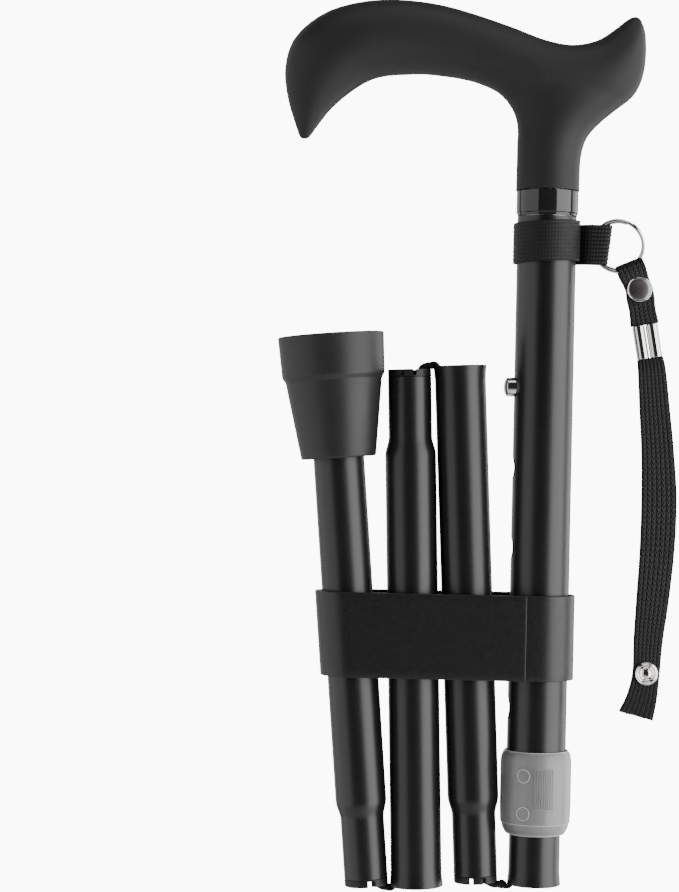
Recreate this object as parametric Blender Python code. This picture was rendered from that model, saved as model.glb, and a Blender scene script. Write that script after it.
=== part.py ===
"""Folding support cane with a derby handle, stored folded: the four tube sections stand side by side
inside a storage band, and the wrist strap hangs from a split ring. Metres, +Z up, shaft axis on Z.
The origin is on the shaft axis where the palm rests on the handle."""

import math

import bmesh
import bpy
from mathutils import Matrix, Vector

# Gaps
TOUCH = 0.0003  # between two pieces that touch
ROUND = 32  # sides of a turned piece

# Tubes
OUTER_RADIUS = 0.011  # upper tube, outside
OUTER_WALL = 0.0012
TUBE_RADIUS = 0.0095  # telescoping tube and the folding sections, outside
TUBE_WALL = 0.0010
FLARE_RADIUS = TUBE_RADIUS + 0.0005  # each mouth opens out a little
FLARE_LENGTH = 0.0050
NECK_RADIUS = TUBE_RADIUS - 0.0014  # the swaged male end
NECK_LENGTH = 0.026
SHOULDER_LENGTH = 0.005
SECTION_LENGTH = 0.1925  # male end to mouth
FOOT_SECTION_TUBE = SECTION_LENGTH - 0.0025  # the last section, male end to the end inside the foot
INNER_LENGTH = 0.205  # telescoping tube

# Heights above the mouth of the telescoping tube
COLLAR_BOTTOM = 0.0176
COLLAR_HEIGHT = 0.0332
RING_BOTTOM = 0.2486
RING_HEIGHT = 0.0096
TOP_HOLE = 0.1851
HOLE_PITCH = 0.030
HOLE_COUNT = 5
BAND_BOTTOM = 0.0766
BAND_HEIGHT = 0.0314
WEBBING_MIDDLE = 0.2394
WEBBING_HEIGHT = 0.0149
PALM_ABOVE_RING = 0.056  # from the ring's top to the palm's resting point

# Folds, from the telescoping tube outwards
LEANS = (2.92, 1.93, 4.89)  # degrees each section leans from the shaft axis when folded
HALF_SPACINGS = (0.01075, 0.0094, 0.00925)  # hinge point to either tube axis
HINGE_PAST_MOUTH = 0.0010
HINGE_PAST_NECK = 0.0020

# Snap button
BUTTON_RADIUS = 0.0036
BUTTON_OUT = 0.0039  # past the upper tube
BUTTON_ROOM = 0.00045  # round the button in its holes
BUTTON_FLANGE = 0.0010
BUTTON_FLANGE_HEIGHT = 0.0008
LEAF_THICKNESS = 0.0006
LEAF_WIDTH = 0.0070
LEAF_LENGTH = 0.026

# Collar
COLLAR_RADIUS = OUTER_RADIUS + 0.0022
COLLAR_LIP = 0.0024
COLLAR_SHOULDER = 0.0022
BUSH_HEIGHT = 0.0057
BUSH_WALL = 0.0018
BUSH_SPLIT = 0.0020

# Ring and tenon under the handle
RING_RADIUS = OUTER_RADIUS + 0.0005
TENON_RADIUS = OUTER_RADIUS - 0.0015
TENON_DOWN = 0.035
TENON_UP = 0.030

# Elastic cord and what holds it
CORD_RADIUS = 0.0018
CORD_KNOT_RADIUS = 0.0034
CORD_KNOT_LENGTH = 0.0060
CORD_ROOM = 0.0005
CORD_TUCK = 0.013  # how far each loop reaches into its tubes
CORD_RISE = 0.0022  # how far a loop stands past the hinge point
ANCHOR_HEIGHT = 0.006
TOP_ANCHOR_AT = 0.140
END_RIM = 0.0028
END_SPIGOT = 0.0092
END_BORE = 0.0058
END_SLOT_WIDTH = 0.0013
END_SLOT_DEPTH = 0.0022
END_SLOTS = 4

# Rubber foot
FOOT_HEIGHT = 0.0454
FOOT_FACE_RADIUS = 0.0198
FOOT_BAND_HEIGHT = 0.0150
FOOT_STEP_RADIUS = 0.01825
FOOT_TOP_RADIUS = 0.0140
FOOT_SOLE = 0.0100
FOOT_LENGTH_ALONG = FOOT_SECTION_TUBE + 0.0138  # male end to the ground face
WASHER_HEIGHT = 0.0016

# Storage band and webbing
BAND_THICKNESS = 0.0020
BAND_ROOM = 0.0006
WEBBING_THICKNESS = 0.0011
WEBBING_ROOM = 0.00035

# Split ring and wrist strap
KEYRING_RADIUS = 0.00925  # to the middle of the wire
KEYRING_WIRE = 0.0013  # radial height of the wire; two turns lie side by side
KEYRING_X = 0.0264
KEYRING_BEARING = -62.0  # degrees round the ring where the strap hangs
STRAP_THICKNESS = 0.0012
STRAP_WIDTH = 0.0100
SNAP_RADIUS = 0.0047
STUD_RADIUS = 0.0042
SNAP_HEIGHT = 0.0016
CLIP_HEIGHT = 0.0123
CLIP_RADIUS = 0.0024
CLIP_WALL = 0.0004
CLIP_TAIL = 0.0015  # half width of the strap's tails inside the clip
SNAP_POST = 0.0011
SNAP_AT = 0.0087  # from the ring's wire to the upper snap
TAB_LENGTH = 0.0222  # from the ring's wire to the clip
TAB_TURN = math.radians(-81.0)  # the short strap's direction below its snap
STUD_STATION = 6  # the lower snap's place in STRAP_LINE
# Long strap from the clip down: x, z and half width, with the stud and the end last
STRAP_LINE = (
    (1.1, -5.0, 5.1),
    (4.0, -34.5, 6.0),
    (4.9, -52.4, 6.5),
    (4.6, -71.1, 6.4),
    (3.3, -89.8, 6.0),
    (2.0, -104.7, 5.4),
    (1.4, -117.4, 5.0),
    (-1.9, -133.2, 6.4),
)

# Handle outline: x and height above the ring, half height, lean of the section, half depth
GRIP = (
    (-91.2, 19.5, 1.6, -85, 1.8),
    (-90.0, 25.9, 5.2, -86, 5.6),
    (-88.9, 32.1, 8.6, -81, 8.8),
    (-85.7, 40.0, 13.2, -77, 12.2),
    (-80.6, 47.7, 16.6, -67, 14.6),
    (-72.7, 53.1, 17.5, -53, 15.8),
    (-64.3, 55.6, 16.5, -38, 16.0),
    (-53.1, 56.7, 14.6, -20, 15.8),
    (-40.0, 55.5, 13.3, -5, 15.4),
    (-27.9, 52.8, 12.2, 6, 15.0),
    (-16.4, 48.8, 12.2, 14, 14.8),
    (-4.3, 44.2, 12.5, 12, 14.6),
    (7.9, 42.3, 12.6, 2, 14.2),
    (19.4, 43.4, 13.6, -9, 13.4),
    (26.6, 47.8, 13.3, -15, 12.0),
    (31.0, 53.0, 11.7, -15, 10.0),
    (33.1, 58.2, 8.2, -18, 7.2),
    (34.2, 62.5, 3.6, -20, 3.4),
)
# Neck: height above the ring, middle x, half width, half depth
NECK = (
    (0.3, 0.0, 11.85, 11.85),
    (11.6, 0.1, 11.9, 11.9),
    (18.3, 0.8, 12.6, 12.2),
    (22.8, 2.1, 13.9, 12.6),
    (27.4, 4.0, 16.6, 13.0),
    (31.9, 5.6, 20.5, 13.4),
    (35.6, 6.2, 24.4, 13.6),
    (39.3, 5.0, 27.2, 13.6),
)
MM = 0.001

# Sizes that follow
OUTER_BORE = OUTER_RADIUS - OUTER_WALL
TUBE_BORE = TUBE_RADIUS - TUBE_WALL
NECK_BORE = NECK_RADIUS - TUBE_WALL
OUTER_BOTTOM = COLLAR_BOTTOM + COLLAR_LIP + BUSH_HEIGHT + 4 * TOUCH
BUTTON_SEAT = math.sqrt(TUBE_BORE**2 - (BUTTON_RADIUS + BUTTON_FLANGE) ** 2) - TOUCH
RING_TOP = RING_BOTTOM + RING_HEIGHT
PALM_HEIGHT = RING_TOP + PALM_ABOVE_RING


def material(name, color, roughness, metallic=0.0):
    """One Principled material."""
    made = bpy.data.materials.new(name)
    made.use_nodes = True
    shader = made.node_tree.nodes["Principled BSDF"]
    shader.inputs["Base Color"].default_value = (*color, 1.0)
    shader.inputs["Roughness"].default_value = roughness
    shader.inputs["Metallic"].default_value = metallic
    return made


def placed(name, bm, look, parent, at=(0, 0, 0), turn=0.0):
    """Make a bmesh an object under its parent, turned about Y by turn (radians)."""
    bmesh.ops.recalc_face_normals(bm, faces=bm.faces)
    mesh = bpy.data.meshes.new(name)
    bm.to_mesh(mesh)
    bm.free()
    mesh.shade_smooth()
    mesh.set_sharp_from_angle(angle=math.radians(35))
    made = bpy.data.objects.new(name, mesh)
    made.data.materials.append(look)
    made.parent = parent
    made.location = at
    made.rotation_euler = (0.0, turn, 0.0)
    bpy.context.collection.objects.link(made)
    return made


def empty(name, matrix, parent=None):
    """An empty on a joint's axis, placed in the frame of the telescoping tube's mouth."""
    made = bpy.data.objects.new(name, None)
    made.empty_display_size = 0.01
    made.parent = parent
    made.matrix_local = matrix
    bpy.context.collection.objects.link(made)
    return made


def turned_mesh(profile, sides=ROUND):
    """Turn a closed (radius, height) outline round Z."""
    bm = bmesh.new()
    ring = [bm.verts.new((r, 0.0, z)) for r, z in profile]
    edges = [bm.edges.new((a, b)) for a, b in zip(ring, ring[1:] + ring[:1])]
    bmesh.ops.spin(
        bm, geom=ring + edges, axis=(0, 0, 1), cent=(0, 0, 0), angle=math.tau, steps=sides, use_merge=True
    )
    bmesh.ops.remove_doubles(bm, verts=bm.verts, dist=1e-7)
    bmesh.ops.dissolve_degenerate(bm, dist=1e-8, edges=bm.edges)
    flat = [f for f in bm.faces if f.calc_area() < 1e-14]
    bmesh.ops.delete(bm, geom=flat, context="FACES")
    return bm


def skinned_mesh(rings, closed=False):
    """Join rings of points, of one length each, into a skin with capped ends, or a closed hoop."""
    bm = bmesh.new()
    rows = [[bm.verts.new(p) for p in ring] for ring in rings]
    pairs = list(zip(rows, rows[1:]))
    if closed:
        pairs.append((rows[-1], rows[0]))
    for low, high in pairs:
        for k in range(len(low)):
            n = (k + 1) % len(low)
            bm.faces.new((low[k], low[n], high[n], high[k]))
    if not closed:
        bm.faces.new(rows[0])
        bm.faces.new(rows[-1])
    return bm


def block_mesh(low, high):
    """A box between two corners."""
    bm = bmesh.new()
    bmesh.ops.create_cube(bm, size=1.0)
    size = Vector(high) - Vector(low)
    bmesh.ops.scale(bm, vec=size, verts=bm.verts)
    bmesh.ops.translate(bm, vec=(Vector(high) + Vector(low)) / 2, verts=bm.verts)
    return bm


def hidden(cutter):
    """Keep a cutter out of the model."""
    cutter.hide_render = True
    cutter.display_type = "WIRE"
    return cutter


def boolean(target, cutter, operation="DIFFERENCE"):
    """Cut or join with a hidden object."""
    step = target.modifiers.new(operation.lower(), "BOOLEAN")
    step.operation = operation
    step.object = hidden(cutter)
    return step


def smooth_through(points, count):
    """Points of a Catmull-Rom curve through the given ones, count to a span."""
    ends = [2 * points[0] - points[1], *points, 2 * points[-1] - points[-2]]
    found = []
    for a, b, c, d in zip(ends, ends[1:], ends[2:], ends[3:]):
        for k in range(count):
            t = k / count
            found.append(
                b
                + (c - a) * (t / 2)
                + (2 * a - 5 * b + 4 * c - d) * (t**2 / 2)
                + (3 * b - a - 3 * c + d) * (t**3 / 2)
            )
    return [*found, points[-1]]


def cord_curve(name, points, look, parent):
    """A cord as a bevelled curve with closed ends."""
    curve = bpy.data.curves.new(name, "CURVE")
    curve.dimensions = "3D"
    curve.bevel_depth = CORD_RADIUS
    curve.bevel_resolution = 2
    curve.use_fill_caps = True
    spline = curve.splines.new("POLY")
    spline.points.add(len(points) - 1)
    for point, place in zip(spline.points, points):
        point.co = (*place, 1.0)
    curve.materials.append(look)
    made = bpy.data.objects.new(name, curve)
    made.parent = parent
    bpy.context.collection.objects.link(made)
    return made


def straight_cord(name, low, high, look, parent, knot_at_top):
    """A straight run of cord with a knot past one end, or none (knot_at_top is None)."""
    profile = [(0.0, low), (CORD_RADIUS, low), (CORD_RADIUS, high), (0.0, high)]
    if knot_at_top is not None:
        out = 1 if knot_at_top else -1
        end = high if knot_at_top else low
        knot = [
            (CORD_RADIUS, end),
            (CORD_KNOT_RADIUS, end + out * CORD_KNOT_LENGTH * 0.25),
            (CORD_KNOT_RADIUS, end + out * CORD_KNOT_LENGTH * 0.75),
            (0.0, end + out * CORD_KNOT_LENGTH),
        ]
        start = [(0.0, low if knot_at_top else high), (CORD_RADIUS, low if knot_at_top else high)]
        profile = start + knot
    return placed(name, turned_mesh(profile, 12), look, parent)


# Folded places


class Fold:
    """One folding section: its hinge frame, and where its male end is in that frame."""

    def __init__(self, number, before, before_mouth):
        lean = math.radians(LEANS[number])
        previous = math.radians(LEANS[number - 1]) if number else 0.0
        self.side = 1 if number % 2 == 0 else -1
        self.angle = math.pi - abs(lean - previous)
        self.spacing = HALF_SPACINGS[number]
        turn = Matrix.Rotation(self.side * self.angle, 4, "Y")
        self.hinge_before = Vector((self.side * self.spacing, 0, before_mouth + HINGE_PAST_MOUTH))
        self.before = before
        # the section's own +Z runs from its male end to its mouth
        self.frame = before @ Matrix.Translation(self.hinge_before) @ turn
        self.male_end = Vector((-self.side * self.spacing, 0, HINGE_PAST_NECK))
        self.section = self.frame @ Matrix.Translation(self.male_end)


def folds():
    """The three sections, each folded against the one before."""
    before = Matrix.Rotation(math.pi, 4, "Y")
    mouth = 0.0
    found = []
    for number in range(len(LEANS)):
        fold = Fold(number, before, mouth)
        found.append(fold)
        before = fold.section
        mouth = SECTION_LENGTH
    return found


# Handle


def oval(centre, along, half_along, half_depth, sides):
    """An ellipse of points in the plane of a direction and Y."""
    across = Vector((0, 1, 0))
    ring = []
    for k in range(sides):
        a = math.tau * k / sides
        ring.append(centre + along * (half_along * math.cos(a)) + across * (half_depth * math.sin(a)))
    return ring


def grip_rings(sides=20):
    """The hand grip's cross-sections from beak to horn."""
    rings = []
    for x, z, half, lean, depth in GRIP:
        tilt = math.radians(lean)
        along = Vector((math.sin(tilt), 0, math.cos(tilt)))
        centre = Vector((x * MM, 0, RING_TOP + z * MM))
        rings.append(oval(centre, along, half * MM, depth * MM, sides))
    return rings


def neck_rings(sides=24):
    """The neck's cross-sections from the ring up into the grip."""
    rings = []
    for z, x, half, depth in NECK:
        centre = Vector((x * MM, 0, RING_TOP + z * MM))
        rings.append(oval(centre, Vector((1, 0, 0)), half * MM, depth * MM, sides))
    return rings


def handle(look, parent):
    """Derby handle: grip and neck in one, bored from below for the tenon."""
    made = placed("handle", skinned_mesh(grip_rings()), look, parent)
    neck = placed("handle_neck_form", skinned_mesh(neck_rings()), look, parent)
    boolean(made, neck, "UNION")
    bore_radius = TENON_RADIUS + TOUCH
    low = RING_TOP - TENON_UP / 2
    high = RING_TOP + TENON_UP + TOUCH
    bore = turned_mesh([(0, low), (bore_radius, low), (bore_radius, high), (0, high)])
    boolean(made, placed("handle_bore_form", bore, look, parent))


def tenon(look, parent):
    """The plug that joins the handle to the upper tube."""
    low = RING_BOTTOM - TENON_DOWN
    high = RING_TOP + TENON_UP
    edge = 0.001
    profile = [
        (0, low), (TENON_RADIUS - edge, low), (TENON_RADIUS, low + edge),
        (TENON_RADIUS, high - edge), (TENON_RADIUS - edge, high), (0, high),
    ]
    placed("handle_tenon", turned_mesh(profile), look, parent)


def ring_ferrule(look, parent):
    """The bright ring between tube and handle."""
    bore = TENON_RADIUS + TOUCH
    low = RING_BOTTOM + TOUCH
    edge = 0.0005
    profile = [
        (bore, low), (RING_RADIUS - edge, low), (RING_RADIUS, low + edge),
        (RING_RADIUS, RING_TOP - edge), (RING_RADIUS - edge, RING_TOP), (bore, RING_TOP),
    ]
    placed("ring_ferrule", turned_mesh(profile), look, parent)


# Upper tube, collar and telescoping tube


def drill(name, radius, height, reach, look, parent):
    """A cutter that drills the tube wall on the -X side."""
    bm = bmesh.new()
    bmesh.ops.create_cone(
        bm, cap_ends=True, segments=20, radius1=radius, radius2=radius, depth=reach
    )
    bmesh.ops.rotate(bm, matrix=Matrix.Rotation(math.pi / 2, 3, "Y"), verts=bm.verts)
    return placed(name, bm, look, parent, (-OUTER_RADIUS, 0, height))


def outer_tube(look, parent):
    """Upper tube with its row of height holes."""
    profile = [
        (OUTER_BORE, OUTER_BOTTOM), (OUTER_RADIUS, OUTER_BOTTOM),
        (OUTER_RADIUS, RING_BOTTOM), (OUTER_BORE, RING_BOTTOM),
    ]
    made = placed("outer_tube", turned_mesh(profile), look, parent)
    for number in range(HOLE_COUNT):
        height = TOP_HOLE - number * HOLE_PITCH
        radius = BUTTON_RADIUS + BUTTON_ROOM
        boolean(made, drill(f"height_hole_form_{number}", radius, height, OUTER_RADIUS, look, parent))


def lock_bush(look, parent):
    """The split bush that the collar squeezes onto the telescoping tube."""
    low = COLLAR_BOTTOM + COLLAR_LIP + TOUCH
    high = low + BUSH_HEIGHT
    inside = TUBE_RADIUS + TOUCH
    outside = inside + BUSH_WALL
    profile = [
        (inside, low), (outside - 0.0005, low), (outside, low + 0.001), (outside, high), (inside, high),
    ]
    made = placed("lock_bush", turned_mesh(profile), look, parent)
    slot = block_mesh((0, -BUSH_SPLIT / 2, low - 0.002), (2 * outside, BUSH_SPLIT / 2, high + 0.002))
    boolean(made, placed("bush_split_form", slot, look, parent))


def lock_collar(look, parent):
    """The turning collar: a lip below, room for the bush, and a sleeve round the upper tube."""
    low = COLLAR_BOTTOM
    top = low + COLLAR_HEIGHT
    lip_bore = TUBE_RADIUS + 0.0004
    bush_bore = TUBE_RADIUS + 2 * TOUCH + BUSH_WALL
    sleeve_bore = OUTER_RADIUS + TOUCH
    step = low + COLLAR_LIP + BUSH_HEIGHT + 2 * TOUCH
    s = COLLAR_SHOULDER
    profile = [
        (lip_bore, low), (COLLAR_RADIUS - s, low), (COLLAR_RADIUS - s * 0.3, low + s * 0.3),
        (COLLAR_RADIUS, low + s), (COLLAR_RADIUS, top - s), (COLLAR_RADIUS - s * 0.25, top - s * 0.4),
        (COLLAR_RADIUS - s * 0.55, top),
        (sleeve_bore, top), (sleeve_bore, step), (bush_bore, step), (bush_bore, low + COLLAR_LIP),
        (lip_bore, low + COLLAR_LIP),
    ]
    placed("lock_collar", turned_mesh(profile, 40), look, parent)


def mouth_profile(length, mouth_at_top):
    """Outline of a plain tube with one flared mouth; the mouth is at 0 or at length."""
    grow = FLARE_RADIUS - TUBE_RADIUS
    outline = [
        (TUBE_BORE, 0.0), (TUBE_RADIUS, 0.0), (TUBE_RADIUS, length - FLARE_LENGTH),
        (TUBE_RADIUS + grow * 0.35, length - FLARE_LENGTH * 0.4), (FLARE_RADIUS, length),
        (FLARE_RADIUS - TUBE_WALL, length), (TUBE_BORE, length - FLARE_LENGTH),
    ]
    if mouth_at_top:
        return outline
    return [(r, length - z) for r, z in outline]


def inner_tube(look, parent):
    """Telescoping tube, mouth down, with the button's hole."""
    made = placed("inner_tube", turned_mesh(mouth_profile(INNER_LENGTH, False)), look, parent)
    radius = BUTTON_RADIUS + BUTTON_ROOM
    boolean(made, drill("button_hole_form", radius, TOP_HOLE, OUTER_RADIUS, look, parent))


def guide_plug(look, parent):
    """Cap on the telescoping tube that runs in the upper tube."""
    low = INNER_LENGTH + TOUCH
    rim = OUTER_BORE - TOUCH
    spigot = TUBE_BORE - TOUCH
    bore = spigot - 0.0025
    profile = [
        (bore, low - 0.006), (spigot, low - 0.006), (spigot, low), (rim, low),
        (rim, low + 0.005), (rim - 0.001, low + 0.006), (bore, low + 0.006),
    ]
    placed("guide_plug", turned_mesh(profile), look, parent)


def snap_button(look, parent):
    """The sprung button: a domed pin with a flange inside the tube. It slides along X."""
    tip = OUTER_RADIUS + BUTTON_OUT
    wide = BUTTON_RADIUS + BUTTON_FLANGE
    back = BUTTON_SEAT - BUTTON_FLANGE_HEIGHT
    profile = [
        (0, back), (wide, back), (wide, BUTTON_SEAT), (BUTTON_RADIUS, BUTTON_SEAT),
        (BUTTON_RADIUS, tip - 0.0014), (BUTTON_RADIUS * 0.86, tip - 0.0005),
        (BUTTON_RADIUS * 0.55, tip - 0.0001), (0, tip),
    ]
    placed("snap_button", turned_mesh(profile, 24), look, parent, (0, 0, TOP_HOLE), -math.pi / 2)


def button_spring(look, parent):
    """V-shaped leaf that pushes the button out: one leg behind the button, one on the far wall."""
    near = -(BUTTON_SEAT - BUTTON_FLANGE_HEIGHT - TOUCH - LEAF_THICKNESS)
    reach = math.sqrt((TUBE_BORE - TOUCH) ** 2 - (LEAF_WIDTH / 2) ** 2)
    bottom = TOP_HOLE - LEAF_LENGTH
    top = TOP_HOLE + 0.005
    t = LEAF_THICKNESS
    outside = [(near - t, top), (near - t, bottom + 0.004), (near + 0.004, bottom), (reach - 0.004, bottom),
               (reach, bottom + 0.004), (reach, top)]
    inside = [(reach - t, top), (reach - t, bottom + 0.004 + t * 0.4), (reach - 0.004 - t * 0.4, bottom + t),
              (near + 0.004 + t * 0.4, bottom + t), (near, bottom + 0.004 + t * 0.4), (near, top)]
    outline = outside + inside
    rings = [[Vector((x, y, z)) for x, z in outline] for y in (-LEAF_WIDTH / 2, LEAF_WIDTH / 2)]
    placed("button_spring", skinned_mesh(rings), look, parent)


# Elastic cord


def anchor(name, bore_radius, middle, look, parent):
    """A plug that the cord passes through and its knot sits on."""
    outside = bore_radius - TOUCH
    inside = CORD_RADIUS + CORD_ROOM
    low = middle - ANCHOR_HEIGHT / 2
    high = middle + ANCHOR_HEIGHT / 2
    profile = [(inside, low), (outside, low), (outside, high), (inside, high)]
    placed(name, turned_mesh(profile), look, parent)


def loop_points(fold, before_mouth):
    """Route of the cord from one tube's mouth over to the next section's male end."""
    toward = fold.side
    leave = [(0.0, -CORD_TUCK), (0.0005, -0.008), (0.0026, -0.0026), (0.0060, 0.0014)]
    enter = [(0.0060, 0.0028), (0.0028, -0.0006), (0.0006, -0.0070), (0.0, -CORD_TUCK + HINGE_PAST_NECK)]
    points = [fold.before @ Vector((toward * d, 0, before_mouth + past)) for d, past in leave]
    away = 0.5 * (fold.before.to_3x3().col[2] - fold.section.to_3x3().col[2])
    hinge = fold.frame.translation
    points.append(hinge + away.normalized() * CORD_RISE)
    points += [fold.section @ Vector((toward * d, 0, -past)) for d, past in enter]
    return smooth_through(points, 3)


def cord_loops(sections, look, datum):
    """The three visible loops of cord."""
    mouth = 0.0
    for number, fold in enumerate(sections, 1):
        cord_curve(f"cord_loop_{number}", loop_points(fold, mouth), look, datum)
        mouth = SECTION_LENGTH


# Folding sections


def section_profile(length, flared):
    """Tube outline from its swaged male end at 0 to its far end at length."""
    shoulder = NECK_LENGTH + SHOULDER_LENGTH
    low = END_RIM + TOUCH
    grow = FLARE_RADIUS - TUBE_RADIUS if flared else 0.0
    return [
        (NECK_BORE, low), (NECK_RADIUS, low), (NECK_RADIUS, NECK_LENGTH), (TUBE_RADIUS, shoulder),
        (TUBE_RADIUS, length - FLARE_LENGTH), (TUBE_RADIUS + grow * 0.35, length - FLARE_LENGTH * 0.4),
        (TUBE_RADIUS + grow, length), (TUBE_BORE + grow, length), (TUBE_BORE, length - FLARE_LENGTH),
        (TUBE_BORE, shoulder), (NECK_BORE, NECK_LENGTH),
    ]


def end_bush(name, look, parent, at):
    """Slotted plastic end in a male end, which the cord comes out of."""
    spigot = NECK_BORE - TOUCH
    profile = [
        (END_BORE, 0.0), (NECK_RADIUS - 0.0004, 0.0), (NECK_RADIUS, 0.0004), (NECK_RADIUS, END_RIM),
        (spigot, END_RIM), (spigot, END_RIM + END_SPIGOT), (END_BORE, END_RIM + END_SPIGOT),
    ]
    made = placed(name, turned_mesh(profile), look, parent, at)
    for k in range(END_SLOTS):
        angle = math.radians(35 + 360 / END_SLOTS * k)
        slot = block_mesh((END_BORE - 0.001, -END_SLOT_WIDTH / 2, -0.001),
                          (NECK_RADIUS + 0.001, END_SLOT_WIDTH / 2, END_SLOT_DEPTH))
        bmesh.ops.rotate(slot, matrix=Matrix.Rotation(angle, 3, "Z"), verts=slot.verts)
        boolean(made, placed(f"{name}_slot_form_{k}", slot, look, parent, at))


def section(number, fold, looks, datum):
    """One folding section under an empty on its hinge."""
    hinge = empty(f"fold_{number}_axis", fold.frame, datum)
    at = fold.male_end
    last = number == len(LEANS)
    length = FOOT_SECTION_TUBE if last else SECTION_LENGTH
    placed(f"section_tube_{number}", turned_mesh(section_profile(length, not last)), looks["tube"], hinge, at)
    end_bush(f"end_bush_{number}", looks["plastic"], hinge, at)
    low = CORD_TUCK - HINGE_PAST_NECK + TOUCH
    if last:
        high = length - 2 * ANCHOR_HEIGHT - CORD_KNOT_LENGTH
    else:
        high = SECTION_LENGTH - CORD_TUCK - TOUCH
    cord = straight_cord(f"cord_run_{number}", low, high, looks["cord"], hinge, True if last else None)
    cord.location = at
    return hinge


def rubber_foot(look, parent, at):
    """Rubber tip: a wide band at the ground face, a step, and a cone up to the tube."""
    socket = TUBE_RADIUS + TOUCH
    face = FOOT_LENGTH_ALONG
    open_end = face - FOOT_HEIGHT
    floor = face - FOOT_SOLE
    band = face - FOOT_BAND_HEIGHT
    profile = [
        (socket, open_end), (FOOT_TOP_RADIUS - 0.0006, open_end), (FOOT_TOP_RADIUS, open_end + 0.0008),
        (FOOT_STEP_RADIUS, band - 0.0006), (FOOT_STEP_RADIUS + 0.0006, band),
        (FOOT_FACE_RADIUS - 0.0008, face - 0.0012), (FOOT_FACE_RADIUS, face - 0.0008),
        (FOOT_FACE_RADIUS - 0.0005, face), (0.0, face), (0.0, floor), (socket, floor),
    ]
    placed("rubber_foot", turned_mesh(profile, 40), look, parent, at)


def foot_washer(look, parent, at):
    """Steel disc under the tube's end that keeps it from cutting through the rubber."""
    high = FOOT_LENGTH_ALONG - FOOT_SOLE - TOUCH
    low = high - WASHER_HEIGHT
    profile = [(0, low), (TUBE_RADIUS - TOUCH, low), (TUBE_RADIUS - TOUCH, high), (0, high)]
    placed("foot_washer", turned_mesh(profile), look, parent, at)


# Storage band


def hull_ring(first, first_radius, second, second_radius, height, sides=12):
    """Outline round two circles on the X axis, as a stretched band lies, at one height."""
    spread = (second - first).length
    tangent = math.acos((first_radius - second_radius) / spread)
    ring = []
    for k in range(sides + 1):
        a = tangent + (math.tau - 2 * tangent) * k / sides
        ring.append(first + Vector((first_radius * math.cos(a), first_radius * math.sin(a), 0)))
    for k in range(sides + 1):
        a = -tangent + 2 * tangent * k / sides
        ring.append(second + Vector((second_radius * math.cos(a), second_radius * math.sin(a), 0)))
    for point in ring:
        point.z = height
    return ring


def hoop_mesh(first, first_radius, second, second_radius, low, high, thickness):
    """A closed band of the given thickness; first and second give each circle's middle at a height."""
    rings = []
    for height, more in ((low, 0.0), (low, thickness), (high, thickness), (high, 0.0)):
        rings.append(
            hull_ring(first(height), first_radius + more, second(height), second_radius + more, height)
        )
    return skinned_mesh(rings, closed=True)


def storage_band(outermost, look, parent):
    """The band closed round all four folded tubes."""
    axis = outermost.section.to_3x3().col[2]
    start = outermost.section.translation

    def leaning(height):
        along = start + axis * ((height - start.z) / axis.z)
        return Vector((along.x, 0, height))

    def upright(height):
        return Vector((0, 0, height))

    bm = hoop_mesh(
        leaning, TUBE_RADIUS + BAND_ROOM, upright, OUTER_RADIUS + BAND_ROOM,
        BAND_BOTTOM, BAND_BOTTOM + BAND_HEIGHT, BAND_THICKNESS,
    )
    placed("storage_band", bm, look, parent)


# Wrist strap


def webbing_band(look, parent):
    """Webbing round the upper tube with a pocket for the split ring."""
    pocket = KEYRING_WIRE + TOUCH
    low = WEBBING_MIDDLE - WEBBING_HEIGHT / 2
    edge = math.sqrt(KEYRING_RADIUS**2 - (WEBBING_HEIGHT / 2) ** 2)
    # the pocket's round end just clears the wire's corners at the webbing's edges
    corner = KEYRING_X - edge + KEYRING_WIRE / 2
    pocket_middle = corner - math.sqrt(pocket**2 - KEYRING_WIRE**2) + 2 * TOUCH
    bm = hoop_mesh(
        lambda z: Vector((0, 0, z)), OUTER_RADIUS + WEBBING_ROOM,
        lambda z: Vector((pocket_middle, 0, z)), pocket,
        low, low + WEBBING_HEIGHT, WEBBING_THICKNESS,
    )
    placed("webbing_band", bm, look, parent)


def split_ring(look, parent):
    """Two turns of wire side by side as one ring."""
    w = KEYRING_WIRE
    e = w * 0.3
    r = KEYRING_RADIUS
    profile = [
        (r - w / 2 + e, -w), (r + w / 2 - e, -w), (r + w / 2, -w + e), (r + w / 2, w - e),
        (r + w / 2 - e, w), (r - w / 2 + e, w), (r - w / 2, w - e), (r - w / 2, -w + e),
    ]
    bm = turned_mesh(profile, 40)
    bmesh.ops.rotate(bm, matrix=Matrix.Rotation(math.pi / 2, 3, "X"), verts=bm.verts)
    bmesh.ops.translate(bm, vec=(KEYRING_X, 0, WEBBING_MIDDLE), verts=bm.verts)
    placed("split_ring", bm, look, parent)


def strap_frame():
    """Where the strap hangs on the ring: the wire's middle there, and the strap's direction."""
    a = math.radians(KEYRING_BEARING)
    out = Vector((math.cos(a), 0, math.sin(a)))
    return Vector((KEYRING_X, 0, WEBBING_MIDDLE)) + out * KEYRING_RADIUS, out


def sheet_mesh(outline, place, half_width):
    """A (v, y) outline pushed across the strap; place(v) gives the middle line's point and direction."""
    rings = []
    for side in (-1, 1):
        ring = []
        for v, y in outline:
            middle, along = place(v)
            across = Vector((-along.z, 0, along.x))
            ring.append(middle + across * (side * half_width) + Vector((0, y, 0)))
        rings.append(ring)
    return skinned_mesh(rings)


def tab_place(v):
    """Middle line of the short strap: straight past the snap, then down to the clip."""
    wire, out = strap_frame()
    if v <= SNAP_AT:
        return wire + out * v, out
    down = Vector((math.cos(TAB_TURN), 0, math.sin(TAB_TURN)))
    return wire + out * SNAP_AT + down * (v - SNAP_AT), down


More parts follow.
